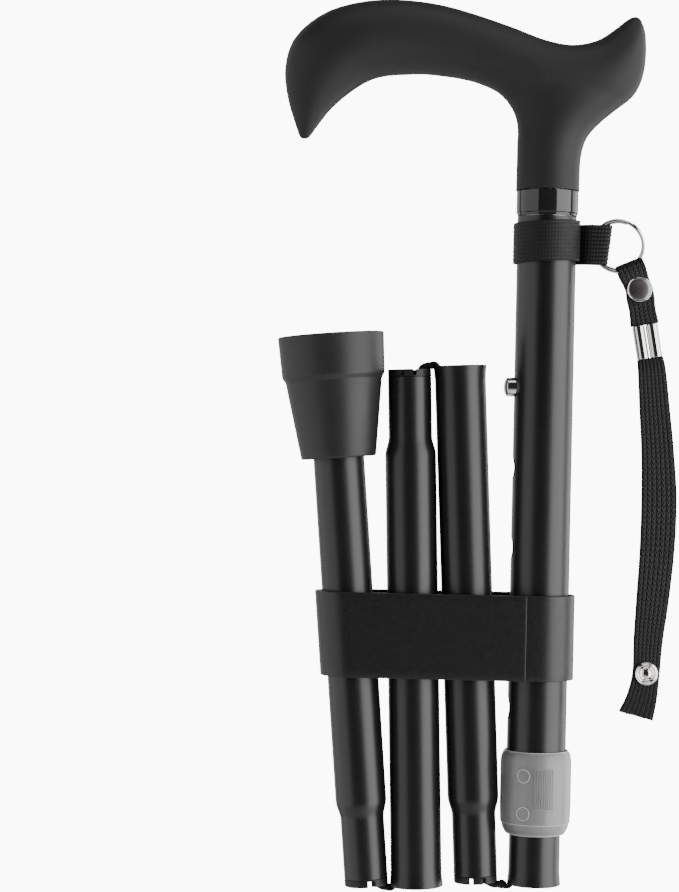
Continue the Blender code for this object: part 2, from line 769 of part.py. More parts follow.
def along_y(name, profile, centre, look, parent):
    """A turned piece whose axis runs front to back through a point; height 0 is the strap's middle."""
    bm = turned_mesh(profile, 24)
    bmesh.ops.rotate(bm, matrix=Matrix.Rotation(math.pi / 2, 3, "X"), verts=bm.verts)
    bmesh.ops.translate(bm, vec=centre, verts=bm.verts)
    return placed(name, bm, look, parent)


def snap_hole(name, target, centre, look, parent):
    """Drill the strap for a snap's post."""
    radius = SNAP_POST + TOUCH
    half = 4 * STRAP_THICKNESS
    profile = [(0, -half), (radius, -half), (radius, half), (0, half)]
    boolean(target, along_y(name, profile, centre, look, parent))


def snap_pair(front, back, radius, centre, half_depth, look, parent):
    """A cap whose post goes through the strap into the socket behind it."""
    face = half_depth + TOUCH
    reach = -half_depth - TOUCH - SNAP_HEIGHT * 0.6
    cap = [
        (0, reach), (SNAP_POST, reach), (SNAP_POST, face), (radius, face),
        (radius, face + SNAP_HEIGHT * 0.45), (radius * 0.9, face + SNAP_HEIGHT * 0.7),
        (radius * 0.5, face + SNAP_HEIGHT * 0.95), (0, face + SNAP_HEIGHT),
    ]
    along_y(front, cap, centre, look, parent)
    bore = SNAP_POST + TOUCH
    low = -face - SNAP_HEIGHT
    rim = radius * 0.85
    socket = [(bore, low), (radius * 0.6, low), (rim, low + SNAP_HEIGHT * 0.4), (rim, -face), (bore, -face)]
    along_y(back, socket, centre, look, parent)


def strap_tab(looks, parent):
    """Short strap folded over the ring, both layers held by the snap and running to the clip."""
    gap = KEYRING_WIRE + TOUCH
    t = STRAP_THICKNESS
    sag = KEYRING_RADIUS - math.sqrt(KEYRING_RADIUS**2 - (STRAP_WIDTH / 2) ** 2)
    fold = -(sag + KEYRING_WIRE / 2 + TOUCH)
    near = TOUCH / 2
    out = [
        (TAB_LENGTH, near + t), (SNAP_AT, near + t), (0.0035, near + t * 1.2), (0.0015, gap + t * 0.8),
        (fold * 0.6, gap + t), (fold - t * 0.7, gap * 0.6 + t * 0.4),
    ]
    inner = [
        (TAB_LENGTH, near), (SNAP_AT, near), (0.0042, near), (0.0015, gap * 0.95),
        (fold * 0.6, gap), (fold, gap * 0.6),
    ]
    outline = out + [(v, -y) for v, y in reversed(out)]
    outline += [(v, -y) for v, y in inner] + list(reversed(inner))
    made = placed("strap_tab", sheet_mesh(outline, tab_place, STRAP_WIDTH / 2), looks["webbing"], parent)
    centre = tab_place(SNAP_AT)[0]
    snap_hole("strap_tab_hole_form", made, centre, looks["webbing"], parent)
    snap_pair("snap_cap", "snap_socket", SNAP_RADIUS, centre, near + t, looks["nickel"], parent)


def clip_frame():
    """The clip's top, direction and sideways direction."""
    top, down = tab_place(TAB_LENGTH + TOUCH)
    return top, down, Vector((-down.z, 0, down.x))


def clip_barrels(looks, parent):
    """Two crimped sleeves side by side."""
    top, down, across = clip_frame()
    bore = CLIP_RADIUS - CLIP_WALL
    profile = [(bore, 0), (CLIP_RADIUS, 0), (CLIP_RADIUS, CLIP_HEIGHT), (bore, CLIP_HEIGHT)]
    turn = math.atan2(down.x, down.z)
    for number, side in enumerate((-1, 1), 1):
        at = top + across * (side * (CLIP_RADIUS + TOUCH / 2))
        placed(f"clip_barrel_{number}", turned_mesh(profile, 20), looks["nickel"], parent, at, turn)


def strap_layer(name, side, looks, parent):
    """One layer of the long strap: a narrow tail in its barrel, then the wide braid to the stud."""
    top, down, across = clip_frame()
    barrel = across * (side * (CLIP_RADIUS + TOUCH / 2))
    away = Vector((0, -side * (STRAP_THICKNESS / 2 + TOUCH / 2), 0))
    start = top + down * CLIP_HEIGHT
    stations = [(top + barrel + down * 0.0006, CLIP_TAIL), (start + barrel + down * 0.0004, CLIP_TAIL)]
    # the tails part front and back before they widen
    stations.append((start + barrel * 0.9 + down * 0.0018 + away * 1.4, CLIP_TAIL))
    stations.append((start + barrel * 0.35 + down * 0.0036 + away * 1.4, STRAP_LINE[0][2] * MM * 0.8))
    for x, z, half in STRAP_LINE:
        stations.append((start + away + Vector((x * MM, 0, z * MM)), half * MM))
    rings = []
    for k, (middle, half) in enumerate(stations):
        before = stations[max(k - 1, 0)][0]
        after = stations[min(k + 1, len(stations) - 1)][0]
        line = (after - before).normalized()
        sideways = Vector((-line.z, 0, line.x)).normalized()
        rings.append([
            middle + sideways * (half * edge) + Vector((0, STRAP_THICKNESS * deep, 0))
            for edge, deep in ((-1, -0.5), (1, -0.5), (1, 0.5), (-1, 0.5))
        ])
    made = placed(name, skinned_mesh(rings), looks["webbing"], parent)
    snap_hole(f"{name}_hole_form", made, stud_centre(), looks["webbing"], parent)


def stud_centre():
    """Middle of the lower snap."""
    top, down, _ = clip_frame()
    x, z, _ = STRAP_LINE[STUD_STATION]
    return top + down * CLIP_HEIGHT + Vector((x * MM, 0, z * MM))


def wrist_strap(looks, datum):
    """Everything that hangs from the split ring."""
    wire, out = strap_frame()
    swing = empty("strap_swing_axis", Matrix.Translation(wire), datum)
    holder = empty("strap_datum", Matrix.Translation(-wire), swing)
    strap_tab(looks, holder)
    clip_barrels(looks, holder)
    strap_layer("strap_front", 1, looks, holder)
    strap_layer("strap_back", -1, looks, holder)
    depth = STRAP_THICKNESS + TOUCH / 2
    snap_pair("stud_cap", "stud_back", STUD_RADIUS, stud_centre(), depth, looks["nickel"], holder)


def main():
    """Clear the scene and build the cane."""
    for old in list(bpy.data.objects):
        bpy.data.objects.remove(old, do_unlink=True)
    looks = {
        "grip": material("grip_soft_black", (0.012, 0.012, 0.013), 0.62),
        "tube": material("tube_satin_black", (0.016, 0.016, 0.018), 0.38, 0.6),
        "ring": material("ring_gloss_black", (0.010, 0.010, 0.012), 0.12, 0.8),
        "alloy": material("plain_alloy", (0.60, 0.61, 0.62), 0.35, 1.0),
        "plastic": material("black_plastic", (0.020, 0.020, 0.021), 0.50),
        "collar": material("frosted_collar", (0.42, 0.42, 0.43), 0.40),
        "rubber": material("black_rubber", (0.018, 0.018, 0.018), 0.75),
        "webbing": material("black_webbing", (0.010, 0.010, 0.010), 0.85),
        "cord": material("black_elastic", (0.012, 0.012, 0.012), 0.80),
        "nickel": material("bright_nickel", (0.78, 0.76, 0.73), 0.15, 1.0),
        "steel": material("spring_steel", (0.50, 0.50, 0.52), 0.30, 1.0),
    }
    datum = empty("mouth_datum", Matrix.Translation((0, 0, -PALM_HEIGHT)))
    sections = folds()
    handle(looks["grip"], datum)
    tenon(looks["alloy"], datum)
    ring_ferrule(looks["ring"], datum)
    outer_tube(looks["tube"], datum)
    lock_bush(looks["plastic"], datum)
    lock_collar(looks["collar"], datum)
    inner_tube(looks["tube"], datum)
    guide_plug(looks["plastic"], datum)
    snap_button(looks["nickel"], datum)
    button_spring(looks["steel"], datum)
    anchor("cord_anchor_top", TUBE_BORE, TOP_ANCHOR_AT, looks["plastic"], datum)
    knot_seat = TOP_ANCHOR_AT + ANCHOR_HEIGHT / 2 + TOUCH
    straight_cord("cord_run_top", CORD_TUCK + TOUCH, knot_seat, looks["cord"], datum, True)
    cord_loops(sections, looks["cord"], datum)
    for number, fold in enumerate(sections, 1):
        hinge = section(number, fold, looks, datum)
    outermost = sections[-1]
    base = empty("foot_datum", Matrix.Translation(outermost.male_end), hinge)
    anchor_at = FOOT_SECTION_TUBE - 2 * ANCHOR_HEIGHT - CORD_KNOT_LENGTH - ANCHOR_HEIGHT / 2 - TOUCH
    anchor("cord_anchor_foot", TUBE_BORE, anchor_at, looks["plastic"], base)
    foot_washer(looks["steel"], base, (0, 0, 0))
    rubber_foot(looks["rubber"], base, (0, 0, 0))
    storage_band(outermost, looks["webbing"], datum)
    webbing_band(looks["webbing"], datum)
    split_ring(looks["nickel"], datum)
    wrist_strap(looks, datum)


main()
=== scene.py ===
import math

import bmesh
import bpy
from mathutils import Matrix, Vector, noise


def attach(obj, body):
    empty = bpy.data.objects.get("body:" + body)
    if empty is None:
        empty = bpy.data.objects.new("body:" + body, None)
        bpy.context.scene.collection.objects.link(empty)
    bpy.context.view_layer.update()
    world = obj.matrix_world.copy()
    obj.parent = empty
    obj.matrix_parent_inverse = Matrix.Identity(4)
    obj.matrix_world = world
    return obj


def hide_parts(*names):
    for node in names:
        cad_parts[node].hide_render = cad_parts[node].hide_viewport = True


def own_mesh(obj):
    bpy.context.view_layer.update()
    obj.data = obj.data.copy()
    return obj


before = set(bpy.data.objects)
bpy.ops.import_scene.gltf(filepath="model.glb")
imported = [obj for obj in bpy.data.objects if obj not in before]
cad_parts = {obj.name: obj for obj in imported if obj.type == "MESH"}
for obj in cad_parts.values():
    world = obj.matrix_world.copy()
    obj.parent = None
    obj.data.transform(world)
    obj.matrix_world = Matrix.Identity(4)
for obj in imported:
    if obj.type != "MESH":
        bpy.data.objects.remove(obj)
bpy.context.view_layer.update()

mm = 0.001
mouthHeight = -0.3142  # the telescoping tube's mouth; heights "above the mouth" start here
atMouth = Matrix.Translation((0, 0, mouthHeight))

print("stage: frame loaded")


def linkedObject(name, data):
    made = bpy.data.objects.new(name, data)
    bpy.context.scene.collection.objects.link(made)
    return made


def plainObject(name, shape):
    # a bmesh made an object of the scene
    mesh = bpy.data.meshes.new(name)
    shape.to_mesh(mesh)
    shape.free()
    return linkedObject(name, mesh)


def shadeEvenly(piece):
    evenNormals = piece.modifiers.new("evenNormals", "WEIGHTED_NORMAL")
    evenNormals.keep_sharp = True


def finishPiece(name, shape, look, body, stands=(), sharp=38, matrix=None, weighted=True):
    # bmesh to object, with smooth shading, its body, slot and the CAD nodes it stands for
    if matrix is not None:
        bmesh.ops.transform(shape, matrix=matrix, verts=shape.verts)
    piece = plainObject(name, shape)
    piece.data.shade_smooth()
    piece.data.set_sharp_from_angle(angle=math.radians(sharp))
    piece.data.materials.append(look)
    if weighted:
        shadeEvenly(piece)
    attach(piece, body)
    if stands:
        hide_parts(*stands)
    return piece


def bakeModifiers(piece):
    # keep the result of the modifiers as the mesh
    bpy.context.view_layer.update()
    evaluated = piece.evaluated_get(bpy.context.evaluated_depsgraph_get())
    result = bpy.data.meshes.new_from_object(evaluated)
    piece.modifiers.clear()
    piece.data = result


def cutAway(piece, shape, sharp, crossing=False):
    # take a form away from a piece, before its other modifiers; crossing forms overlap one another
    form = plainObject("cutForm", shape)
    cut = piece.modifiers.new("cut", "BOOLEAN")
    cut.operation = "DIFFERENCE"
    cut.solver = "EXACT"
    cut.use_self = crossing
    cut.object = form
    piece.modifiers.move(len(piece.modifiers) - 1, 0)
    bakeModifiers(piece)
    bpy.data.objects.remove(form)
    piece.data.set_sharp_from_angle(angle=math.radians(sharp))


def giveWall(piece, thickness, edgeWidth=0.0):
    # a wall round the piece's middle surface, with rounded edges; millimetres
    wall = piece.modifiers.new("wall", "SOLIDIFY")
    wall.thickness = thickness * mm
    wall.offset = 0.0
    if edgeWidth:
        edge = piece.modifiers.new("edge", "BEVEL")
        edge.width = edgeWidth * mm
        edge.segments = 2
        edge.limit_method = "ANGLE"
        edge.angle_limit = math.radians(50)
    bakeModifiers(piece)


def roundEdges(shape, edges, width):
    bmesh.ops.bevel(shape, geom=edges, offset=width * mm, offset_type="OFFSET", affect="EDGES",
                    segments=2, profile=0.5, material=-1, clamp_overlap=True)


def sharpRings(shape, degrees=28):
    # the edges round a turned shape where its outline turns a corner
    return [e for e in shape.edges if len(e.link_faces) == 2
            and e.calc_face_angle(0.0) > math.radians(degrees)
            and abs(e.verts[0].co.z - e.verts[1].co.z) < 1e-6]


def turned(outline, sides=96, edgeWidth=0.0):
    # a closed (radius, height) outline spun round Z, in millimetres
    shape = bmesh.new()
    corners = [shape.verts.new((r * mm, 0.0, z * mm)) for r, z in outline]
    line = [shape.edges.new((a, b)) for a, b in zip(corners, corners[1:] + corners[:1])]
    bmesh.ops.spin(shape, geom=corners + line, axis=(0, 0, 1), cent=(0, 0, 0),
                   angle=math.tau, steps=sides, use_merge=True)
    bmesh.ops.remove_doubles(shape, verts=shape.verts, dist=1e-7)
    bmesh.ops.dissolve_degenerate(shape, dist=1e-8, edges=shape.edges)
    bmesh.ops.recalc_face_normals(shape, faces=shape.faces)
    if edgeWidth:
        roundEdges(shape, sharpRings(shape), edgeWidth)
    return shape


def gridShape(along, across, place, size, closed=False):
    # a grid laid out by place(s, t), each from 0 to 1, with its UV in metres
    shape = bmesh.new()
    uvLayer = shape.loops.layers.uv.new("weaveMap")
    bmesh.ops.create_grid(shape, x_segments=along, y_segments=across, size=0.5, calc_uvs=True)
    share = {v: (min(max(v.co.x + 0.5, 0.0), 1.0), min(max(v.co.y + 0.5, 0.0), 1.0)) for v in shape.verts}
    for face in shape.faces:
        for loop in face.loops:
            s, t = share[loop.vert]
            loop[uvLayer].uv = (s * size[0], t * size[1])
    for vert, (s, t) in share.items():
        vert.co = place(s, t)
    bmesh.ops.remove_doubles(shape, verts=shape.verts, dist=1e-7)
    if closed:
        bmesh.ops.holes_fill(shape, edges=[e for e in shape.edges if e.is_boundary], sides=0)
    bmesh.ops.recalc_face_normals(shape, faces=shape.faces)
    return shape


def curvePoint(points, share):
    # a point on a smooth curve through the given points, share from 0 to 1
    spans = len(points) - 1
    at = min(max(share, 0.0), 1.0) * spans
    k = min(int(at), spans - 1)
    t = at - k
    b, c = points[k], points[k + 1]
    a = points[k - 1] if k else 2 * b - c
    d = points[k + 2] if k + 2 <= spans else 2 * c - b
    return (b + (c - a) * (t / 2) + (2 * a - 5 * b + 4 * c - d) * (t * t / 2)
            + (3 * b - a - 3 * c + d) * (t ** 3 / 2))


def evenSteps(path, count):
    # a straight-edged path's points a constant distance apart, and its length
    reach = [0.0]
    for a, b in zip(path, path[1:]):
        reach.append(reach[-1] + (b - a).length)
    found, k = [], 0
    for n in range(count + 1):
        want = reach[-1] * n / count
        while k < len(reach) - 2 and reach[k + 1] < want:
            k += 1
        span = max(reach[k + 1] - reach[k], 1e-12)
        found.append(path[k].lerp(path[k + 1], min(max((want - reach[k]) / span, 0.0), 1.0)))
    return found, reach[-1]


def evenCurve(points, count):
    # the same for a smooth curve through the points
    return evenSteps([curvePoint(points, k / (count * 4)) for k in range(count * 4 + 1)], count)


def arcPoints(centre, radius, angles):
    # points of an arc, each angle in degrees
    return [(centre[0] + radius * math.cos(math.radians(d)), centre[1] + radius * math.sin(math.radians(d)))
            for d in angles]


def frameAlong(origin, direction):
    # Z along the direction, Y to the back
    z = Vector(direction).normalized()
    y = Vector((0, 1, 0))
    x = y.cross(z)
    return Matrix.Translation(origin) @ Matrix((x, y, z)).transposed().to_4x4()


def frameFacing(origin):
    # Z towards the front, for pieces turned round a line from front to back
    return Matrix.Translation(origin) @ Matrix.Rotation(math.pi / 2, 4, "X")


def newGroup(name, inputs, outputs):
    group = bpy.data.node_groups.new(name, "ShaderNodeTree")
    for label, kind, value in inputs:
        made = group.interface.new_socket(label, in_out="INPUT", socket_type=kind)
        made.default_value = value
    for label, kind in outputs:
        group.interface.new_socket(label, in_out="OUTPUT", socket_type=kind)
    return group, group.nodes.new("NodeGroupInput"), group.nodes.new("NodeGroupOutput")


def mathNode(tree, operation, first, second=None, third=None):
    node = tree.nodes.new("ShaderNodeMath")
    node.operation = operation
    for socket, value in zip(node.inputs, (first, second, third)):
        if value is None:
            continue
        if isinstance(value, (int, float)):
            socket.default_value = value
        else:
            tree.links.new(value, socket)
    return node.outputs[0]


def noiseNode(tree, vector, scale, detail=3.0, rough=0.55):
    node = tree.nodes.new("ShaderNodeTexNoise")
    node.inputs["Detail"].default_value = detail
    node.inputs["Roughness"].default_value = rough
    tree.links.new(vector, node.inputs["Vector"])
    if isinstance(scale, (int, float)):
        node.inputs["Scale"].default_value = scale
    else:
        tree.links.new(scale, node.inputs["Scale"])
    return node.outputs["Fac"]


def surfaceGrainGroup():
    # powder coat, moulding grain and soft uneven gloss, on object coordinates
    group, given, out = newGroup(
        "surfaceGrain",
        [("Grain Scale", "NodeSocketFloat", 2200.0), ("Cloud Scale", "NodeSocketFloat", 26.0),
         ("Grain Share", "NodeSocketFloat", 0.5)],
        [("Height", "NodeSocketFloat"), ("Cloud", "NodeSocketFloat")])
    place = group.nodes.new("ShaderNodeTexCoord").outputs["Object"]
    grain = noiseNode(group, place, given.outputs["Grain Scale"], 2.0)
    cloud = noiseNode(group, place, given.outputs["Cloud Scale"], 4.0, 0.6)
    group.links.new(mathNode(group, "MULTIPLY", grain, given.outputs["Grain Share"]), out.inputs["Height"])
    group.links.new(cloud, out.inputs["Cloud"])
    return group


def braidGroup():
    # columns of small chevrons along a strap, on the piece's own UV in metres
    group, given, out = newGroup(
        "braidPattern",
        [("Column", "NodeSocketFloat", 0.0013), ("Stitch", "NodeSocketFloat", 0.0009),
         ("Slant", "NodeSocketFloat", 0.5), ("Column Depth", "NodeSocketFloat", 0.6)],
        [("Height", "NodeSocketFloat"), ("Thread", "NodeSocketFloat"), ("Fluff", "NodeSocketFloat")])
    uv = group.nodes.new("ShaderNodeUVMap")
    uv.uv_map = "weaveMap"
    parts = group.nodes.new("ShaderNodeSeparateXYZ")
    group.links.new(uv.outputs[0], parts.inputs[0])
    across = mathNode(group, "DIVIDE", parts.outputs["Y"], given.outputs["Column"])
    edge = mathNode(group, "ABSOLUTE", mathNode(group, "SUBTRACT", mathNode(group, "FRACT", across), 0.5))
    edge = mathNode(group, "MULTIPLY", edge, 2.0)
    lengthwise = mathNode(group, "DIVIDE", parts.outputs["X"], given.outputs["Stitch"])
    phase = mathNode(group, "ADD", lengthwise, mathNode(group, "MULTIPLY", edge, given.outputs["Slant"]))
    wave = mathNode(group, "SINE", mathNode(group, "MULTIPLY", phase, math.tau))
    thread = mathNode(group, "MULTIPLY_ADD", wave, 0.5, 0.5)
    column = mathNode(group, "SUBTRACT", 1.0, mathNode(group, "POWER", edge, 2.0))
    share = mathNode(group, "MULTIPLY", column, given.outputs["Column Depth"])
    stitches = mathNode(group, "MULTIPLY", thread, column)
    group.links.new(mathNode(group, "MULTIPLY_ADD", stitches, 0.5, share), out.inputs["Height"])
    group.links.new(stitches, out.inputs["Thread"])
    place = group.nodes.new("ShaderNodeTexCoord").outputs["Object"]
    group.links.new(noiseNode(group, place, 900.0, 3.0, 0.7), out.inputs["Fluff"])
    return group


surfaceGrain = surfaceGrainGroup()
braidPattern = braidGroup()


def startLook(name, color, roughness, metallic=0.0):
    look = bpy.data.materials.new(name)
    look.use_nodes = True
    tree = look.node_tree
    shader = tree.nodes["Principled BSDF"]
    shader.inputs["Base Color"].default_value = (*color, 1.0)
    shader.inputs["Roughness"].default_value = roughness
    shader.inputs["Metallic"].default_value = metallic
    return look, tree, shader


def useGroup(tree, group, **values):
    node = tree.nodes.new("ShaderNodeGroup")
    node.node_tree = group
    for label, value in values.items():
        node.inputs[label.replace("_", " ")].default_value = value
    return node


def rangeNode(tree, value, low, high):
    node = tree.nodes.new("ShaderNodeMapRange")
    node.inputs["From Min"].default_value = 0.25
    node.inputs["From Max"].default_value = 0.75
    node.inputs["To Min"].default_value = low
    node.inputs["To Max"].default_value = high
    tree.links.new(value, node.inputs["Value"])
    return node.outputs[0]


def mixColors(tree, share, first, second):
    node = tree.nodes.new("ShaderNodeMix")
    node.data_type = "RGBA"
    node.inputs[6].default_value = (*first, 1.0)
    node.inputs[7].default_value = (*second, 1.0)
    tree.links.new(share, node.inputs[0])
    return node.outputs[2]


def bumpOnto(tree, shader, height, strength, distance):
    bump = tree.nodes.new("ShaderNodeBump")
    bump.inputs["Strength"].default_value = strength
    bump.inputs["Distance"].default_value = distance
    tree.links.new(height, bump.inputs["Height"])
    tree.links.new(bump.outputs[0], shader.inputs["Normal"])


def hardLook(name, darker, lighter, roughLow, roughHigh, metallic=0.0, grain=2200.0, cloud=26.0,
             bump=0.12, depth=0.00004, specular=0.5, coat=0.0, coatRough=0.1):
    # a coated, moulded or plated surface: soft colour and gloss clouds over a fine grain
    look, tree, shader = startLook(name, darker, roughLow, metallic)
    effect = useGroup(tree, surfaceGrain, Grain_Scale=grain, Cloud_Scale=cloud)
    tree.links.new(mixColors(tree, effect.outputs["Cloud"], darker, lighter), shader.inputs["Base Color"])
    tree.links.new(rangeNode(tree, effect.outputs["Cloud"], roughLow, roughHigh), shader.inputs["Roughness"])
    bumpOnto(tree, shader, effect.outputs["Height"], bump, depth)
    shader.inputs["Specular IOR Level"].default_value = specular
    shader.inputs["Coat Weight"].default_value = coat
    shader.inputs["Coat Roughness"].default_value = coatRough
    return look


def wovenLook(name, darker, lighter, column, stitch, slant, columnDepth, rough, bump=0.7, depth=0.0003,
              sheen=0.15, specular=0.5):
    # braided or woven tape: thread shine follows the stitches
    look, tree, shader = startLook(name, darker, rough)
    effect = useGroup(tree, braidPattern, Column=column, Stitch=stitch, Slant=slant, Column_Depth=columnDepth)
    shine = mathNode(tree, "MULTIPLY", effect.outputs["Thread"], effect.outputs["Fluff"])
    tree.links.new(mixColors(tree, shine, darker, lighter), shader.inputs["Base Color"])
    uneven = rangeNode(tree, effect.outputs["Fluff"], rough - 0.08, rough + 0.08)
    tree.links.new(uneven, shader.inputs["Roughness"])
    bumpOnto(tree, shader, effect.outputs["Height"], bump, depth)
    shader.inputs["Specular IOR Level"].default_value = specular
    shader.inputs["Sheen Weight"].default_value = sheen
    shader.inputs["Sheen Roughness"].default_value = 0.4
    return look


softTouchBlack = hardLook("softTouchBlack", (0.0150, 0.0150, 0.0154), (0.0185, 0.0185, 0.0190), 0.52, 0.60,
                          grain=2600.0, cloud=18.0, bump=0.06, depth=0.00003, specular=0.26)
satinTube = hardLook("satinTube", (0.0045, 0.0045, 0.0050), (0.0070, 0.0070, 0.0074), 0.31, 0.37,
                     grain=3200.0, cloud=22.0, bump=0.08, depth=0.00003, specular=0.55)
glossRing = hardLook("glossRing", (0.011, 0.011, 0.011), (0.015, 0.015, 0.015), 0.09, 0.14,
                     grain=1500.0, cloud=30.0, bump=0.02, depth=0.00002, specular=0.60)
blackNylon = hardLook("blackNylon", (0.006, 0.006, 0.006), (0.010, 0.010, 0.010), 0.38, 0.50,
                      grain=2400.0, cloud=60.0, bump=0.15, specular=0.35)
mattRubber = hardLook("mattRubber", (0.0125, 0.0125, 0.0125), (0.0170, 0.0170, 0.0170), 0.42, 0.52,
                      grain=2800.0, cloud=34.0, bump=0.12, depth=0.00005, specular=0.42)
brightNickel = hardLook("brightNickel", (0.74, 0.72, 0.69), (0.80, 0.78, 0.76), 0.07, 0.13, metallic=1.0,
                        grain=1800.0, cloud=120.0, bump=0.02, depth=0.00002)
mirrorDome = hardLook("mirrorDome", (0.26, 0.22, 0.22), (0.40, 0.38, 0.38), 0.24, 0.36, metallic=1.0,
                      grain=1200.0, cloud=260.0, bump=0.04, depth=0.00003)
springSteel = hardLook("springSteel", (0.46, 0.46, 0.48), (0.55, 0.55, 0.56), 0.25, 0.35, metallic=1.0)
plainAlloy = hardLook("plainAlloy", (0.56, 0.57, 0.58), (0.64, 0.65, 0.66), 0.30, 0.40, metallic=1.0)
elasticBand = wovenLook("elasticBand", (0.0060, 0.0060, 0.0060), (0.0100, 0.0100, 0.0100), 0.0011, 0.0007,
                        0.0, 0.35, 0.40, bump=0.10, depth=0.00008, sheen=0.0, specular=0.50)
ribbedWebbing = wovenLook("ribbedWebbing", (0.0045, 0.0045, 0.0045), (0.016, 0.016, 0.016), 0.00149, 0.0011,
                          0.35, 1.2, 0.55, bump=0.7, depth=0.00035, sheen=0.02, specular=0.30)
braidedStrap = wovenLook("braidedStrap", (0.0010, 0.0010, 0.0010), (0.040, 0.040, 0.040), 0.00170, 0.00150,
                         0.9, 0.35, 0.48, bump=1.0, depth=0.00055, sheen=0.01, specular=0.22)
elasticCord = wovenLook("elasticCord", (0.002, 0.002, 0.002), (0.012, 0.012, 0.012), 0.0009, 0.0011,
                        1.0, 0.4, 0.60, bump=0.7, depth=0.0002, sheen=0.02, specular=0.20)


def frostedLook(name, darker, lighter, roughLow, roughHigh, clear, coat):
    # milky clear plastic: light passes round its edges and the dark tube shows through
    look = hardLook(name, darker, lighter, roughLow, roughHigh, grain=1600.0, cloud=70.0, bump=0.10,
                    depth=0.00004, coat=coat, coatRough=0.18)
    shader = look.node_tree.nodes["Principled BSDF"]
    shader.inputs["Transmission Weight"].default_value = clear
    shader.inputs["IOR"].default_value = 1.45
    return look


frostedGrey = frostedLook("frostedGrey", (0.40, 0.40, 0.405), (0.50, 0.50, 0.505), 0.30, 0.42, 0.62, 0.35)
# a lighter, less clear copy of the frosted plastic: painted highlight for the collar's edge rings and its
# marks
frostedPaintedHighlight = frostedLook("frostedPaintedHighlight", (0.60, 0.60, 0.60), (0.72, 0.72, 0.72), 0.20, 0.30, 0.30, 0.5)

for node, look in {
    "handle_tenon": plainAlloy, "lock_bush": blackNylon, "guide_plug": blackNylon,
    "button_spring": springSteel, "foot_washer": springSteel, "cord_anchor_top": blackNylon,
    "cord_anchor_foot": blackNylon, "cord_run_top": blackNylon, "cord_run_1": blackNylon,
    "cord_run_2": blackNylon, "cord_run_3": blackNylon,
}.items():
    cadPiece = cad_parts[node]
    cadPiece.data.materials.clear()
    cadPiece.data.materials.append(look)

print("stage: finishes made")


cameraSettings = {
    "place": (-0.0757, -0.896, -0.1524),
    "roll": 1.18,  # degrees
    "lens": 96.9, "sensor": 36.0,
}

# the point that all the lights face
aim = Vector((-0.03, 0.0, -0.16))

lightSettings = [
    # name, degrees round from the front, distance, height, size across and up, power
    ("rightBox", 62.0, 1.2, -0.10, (1.40, 1.8), 36.0),
    ("leftBox", -80.0, 1.2, -0.10, (2.20, 1.8), 16.0),
    ("topBox", 20.0, 0.25, 1.15, (1.3, 1.0), 6.0),
    ("rimBox", 124.0, 1.2, -0.10, (0.90, 1.8), 12.5),
    ("backBox", -158.0, 1.5, 0.10, (1.60, 1.8), 9.0),
]

studioSettings = {
    "roomGlow": 0.03, "backdrop": 10.5, "through": 1.7,
    "floorColor": (0.86, 0.86, 0.86), "floorGlow": 10.5, "floorHeight": -1.02, "floorReach": 8.0,
}


def setCamera():
    s = cameraSettings
    data = bpy.data.cameras.new("camera")
    data.lens = s["lens"]
    data.sensor_width = s["sensor"]
    camera = linkedObject("camera", data)
    camera.matrix_world = (Matrix.Translation(s["place"]) @ Matrix.Rotation(math.pi / 2, 4, "X")
                           @ Matrix.Rotation(math.radians(s["roll"]), 4, "Z"))
    bpy.context.scene.camera = camera


def setLights():
    for name, bearing, distance, height, size, power in lightSettings:
        turn = math.radians(bearing)
        place = Vector((aim.x + distance * math.sin(turn), -distance * math.cos(turn), height))
        data = bpy.data.lights.new(name, "AREA")
        data.shape = "RECTANGLE"
        data.size, data.size_y = size
        data.energy = power
        light = linkedObject(name, data)
        light.visible_camera = False
        light.location = place
        light.rotation_euler = (aim - place).to_track_quat("-Z", "Y").to_euler()


def setWorld():
    s = studioSettings
    world = bpy.data.worlds.new("studio")
    bpy.context.scene.world = world
    world.use_nodes = True
    tree = world.node_tree
    background = tree.nodes["Background"]
    path = tree.nodes.new("ShaderNodeLightPath")
    glow = mathNode(tree, "MULTIPLY_ADD", path.outputs["Is Camera Ray"], s["backdrop"] - s["roomGlow"],
                    s["roomGlow"])
    # the collar's clear plastic passes some of the bright room behind it
    glow = mathNode(tree, "MULTIPLY_ADD", path.outputs["Is Transmission Ray"], s["through"], glow)
    tree.links.new(glow, background.inputs["Strength"])
    background.inputs["Color"].default_value = (1, 1, 1, 1)


def layFloor():
    # a pale floor, low enough for the opened cane
    s = studioSettings
    look, tree, shader = startLook("paleFloor", s["floorColor"], 0.8)
    path = tree.nodes.new("ShaderNodeLightPath")
    shader.inputs["Emission Color"].default_value = (1, 1, 1, 1)
    glow = mathNode(tree, "MULTIPLY", path.outputs["Is Camera Ray"], s["floorGlow"])
    tree.links.new(glow, shader.inputs["Emission Strength"])
    shape = bmesh.new()
    bmesh.ops.create_grid(shape, x_segments=1, y_segments=1, size=s["floorReach"])
    bmesh.ops.translate(shape, vec=(0, 0, s["floorHeight"]), verts=shape.verts)
    floor = plainObject("floor", shape)
    floor.data.materials.append(look)


setCamera()
setLights()
setWorld()
layFloor()
print("stage: camera, lights and floor set")


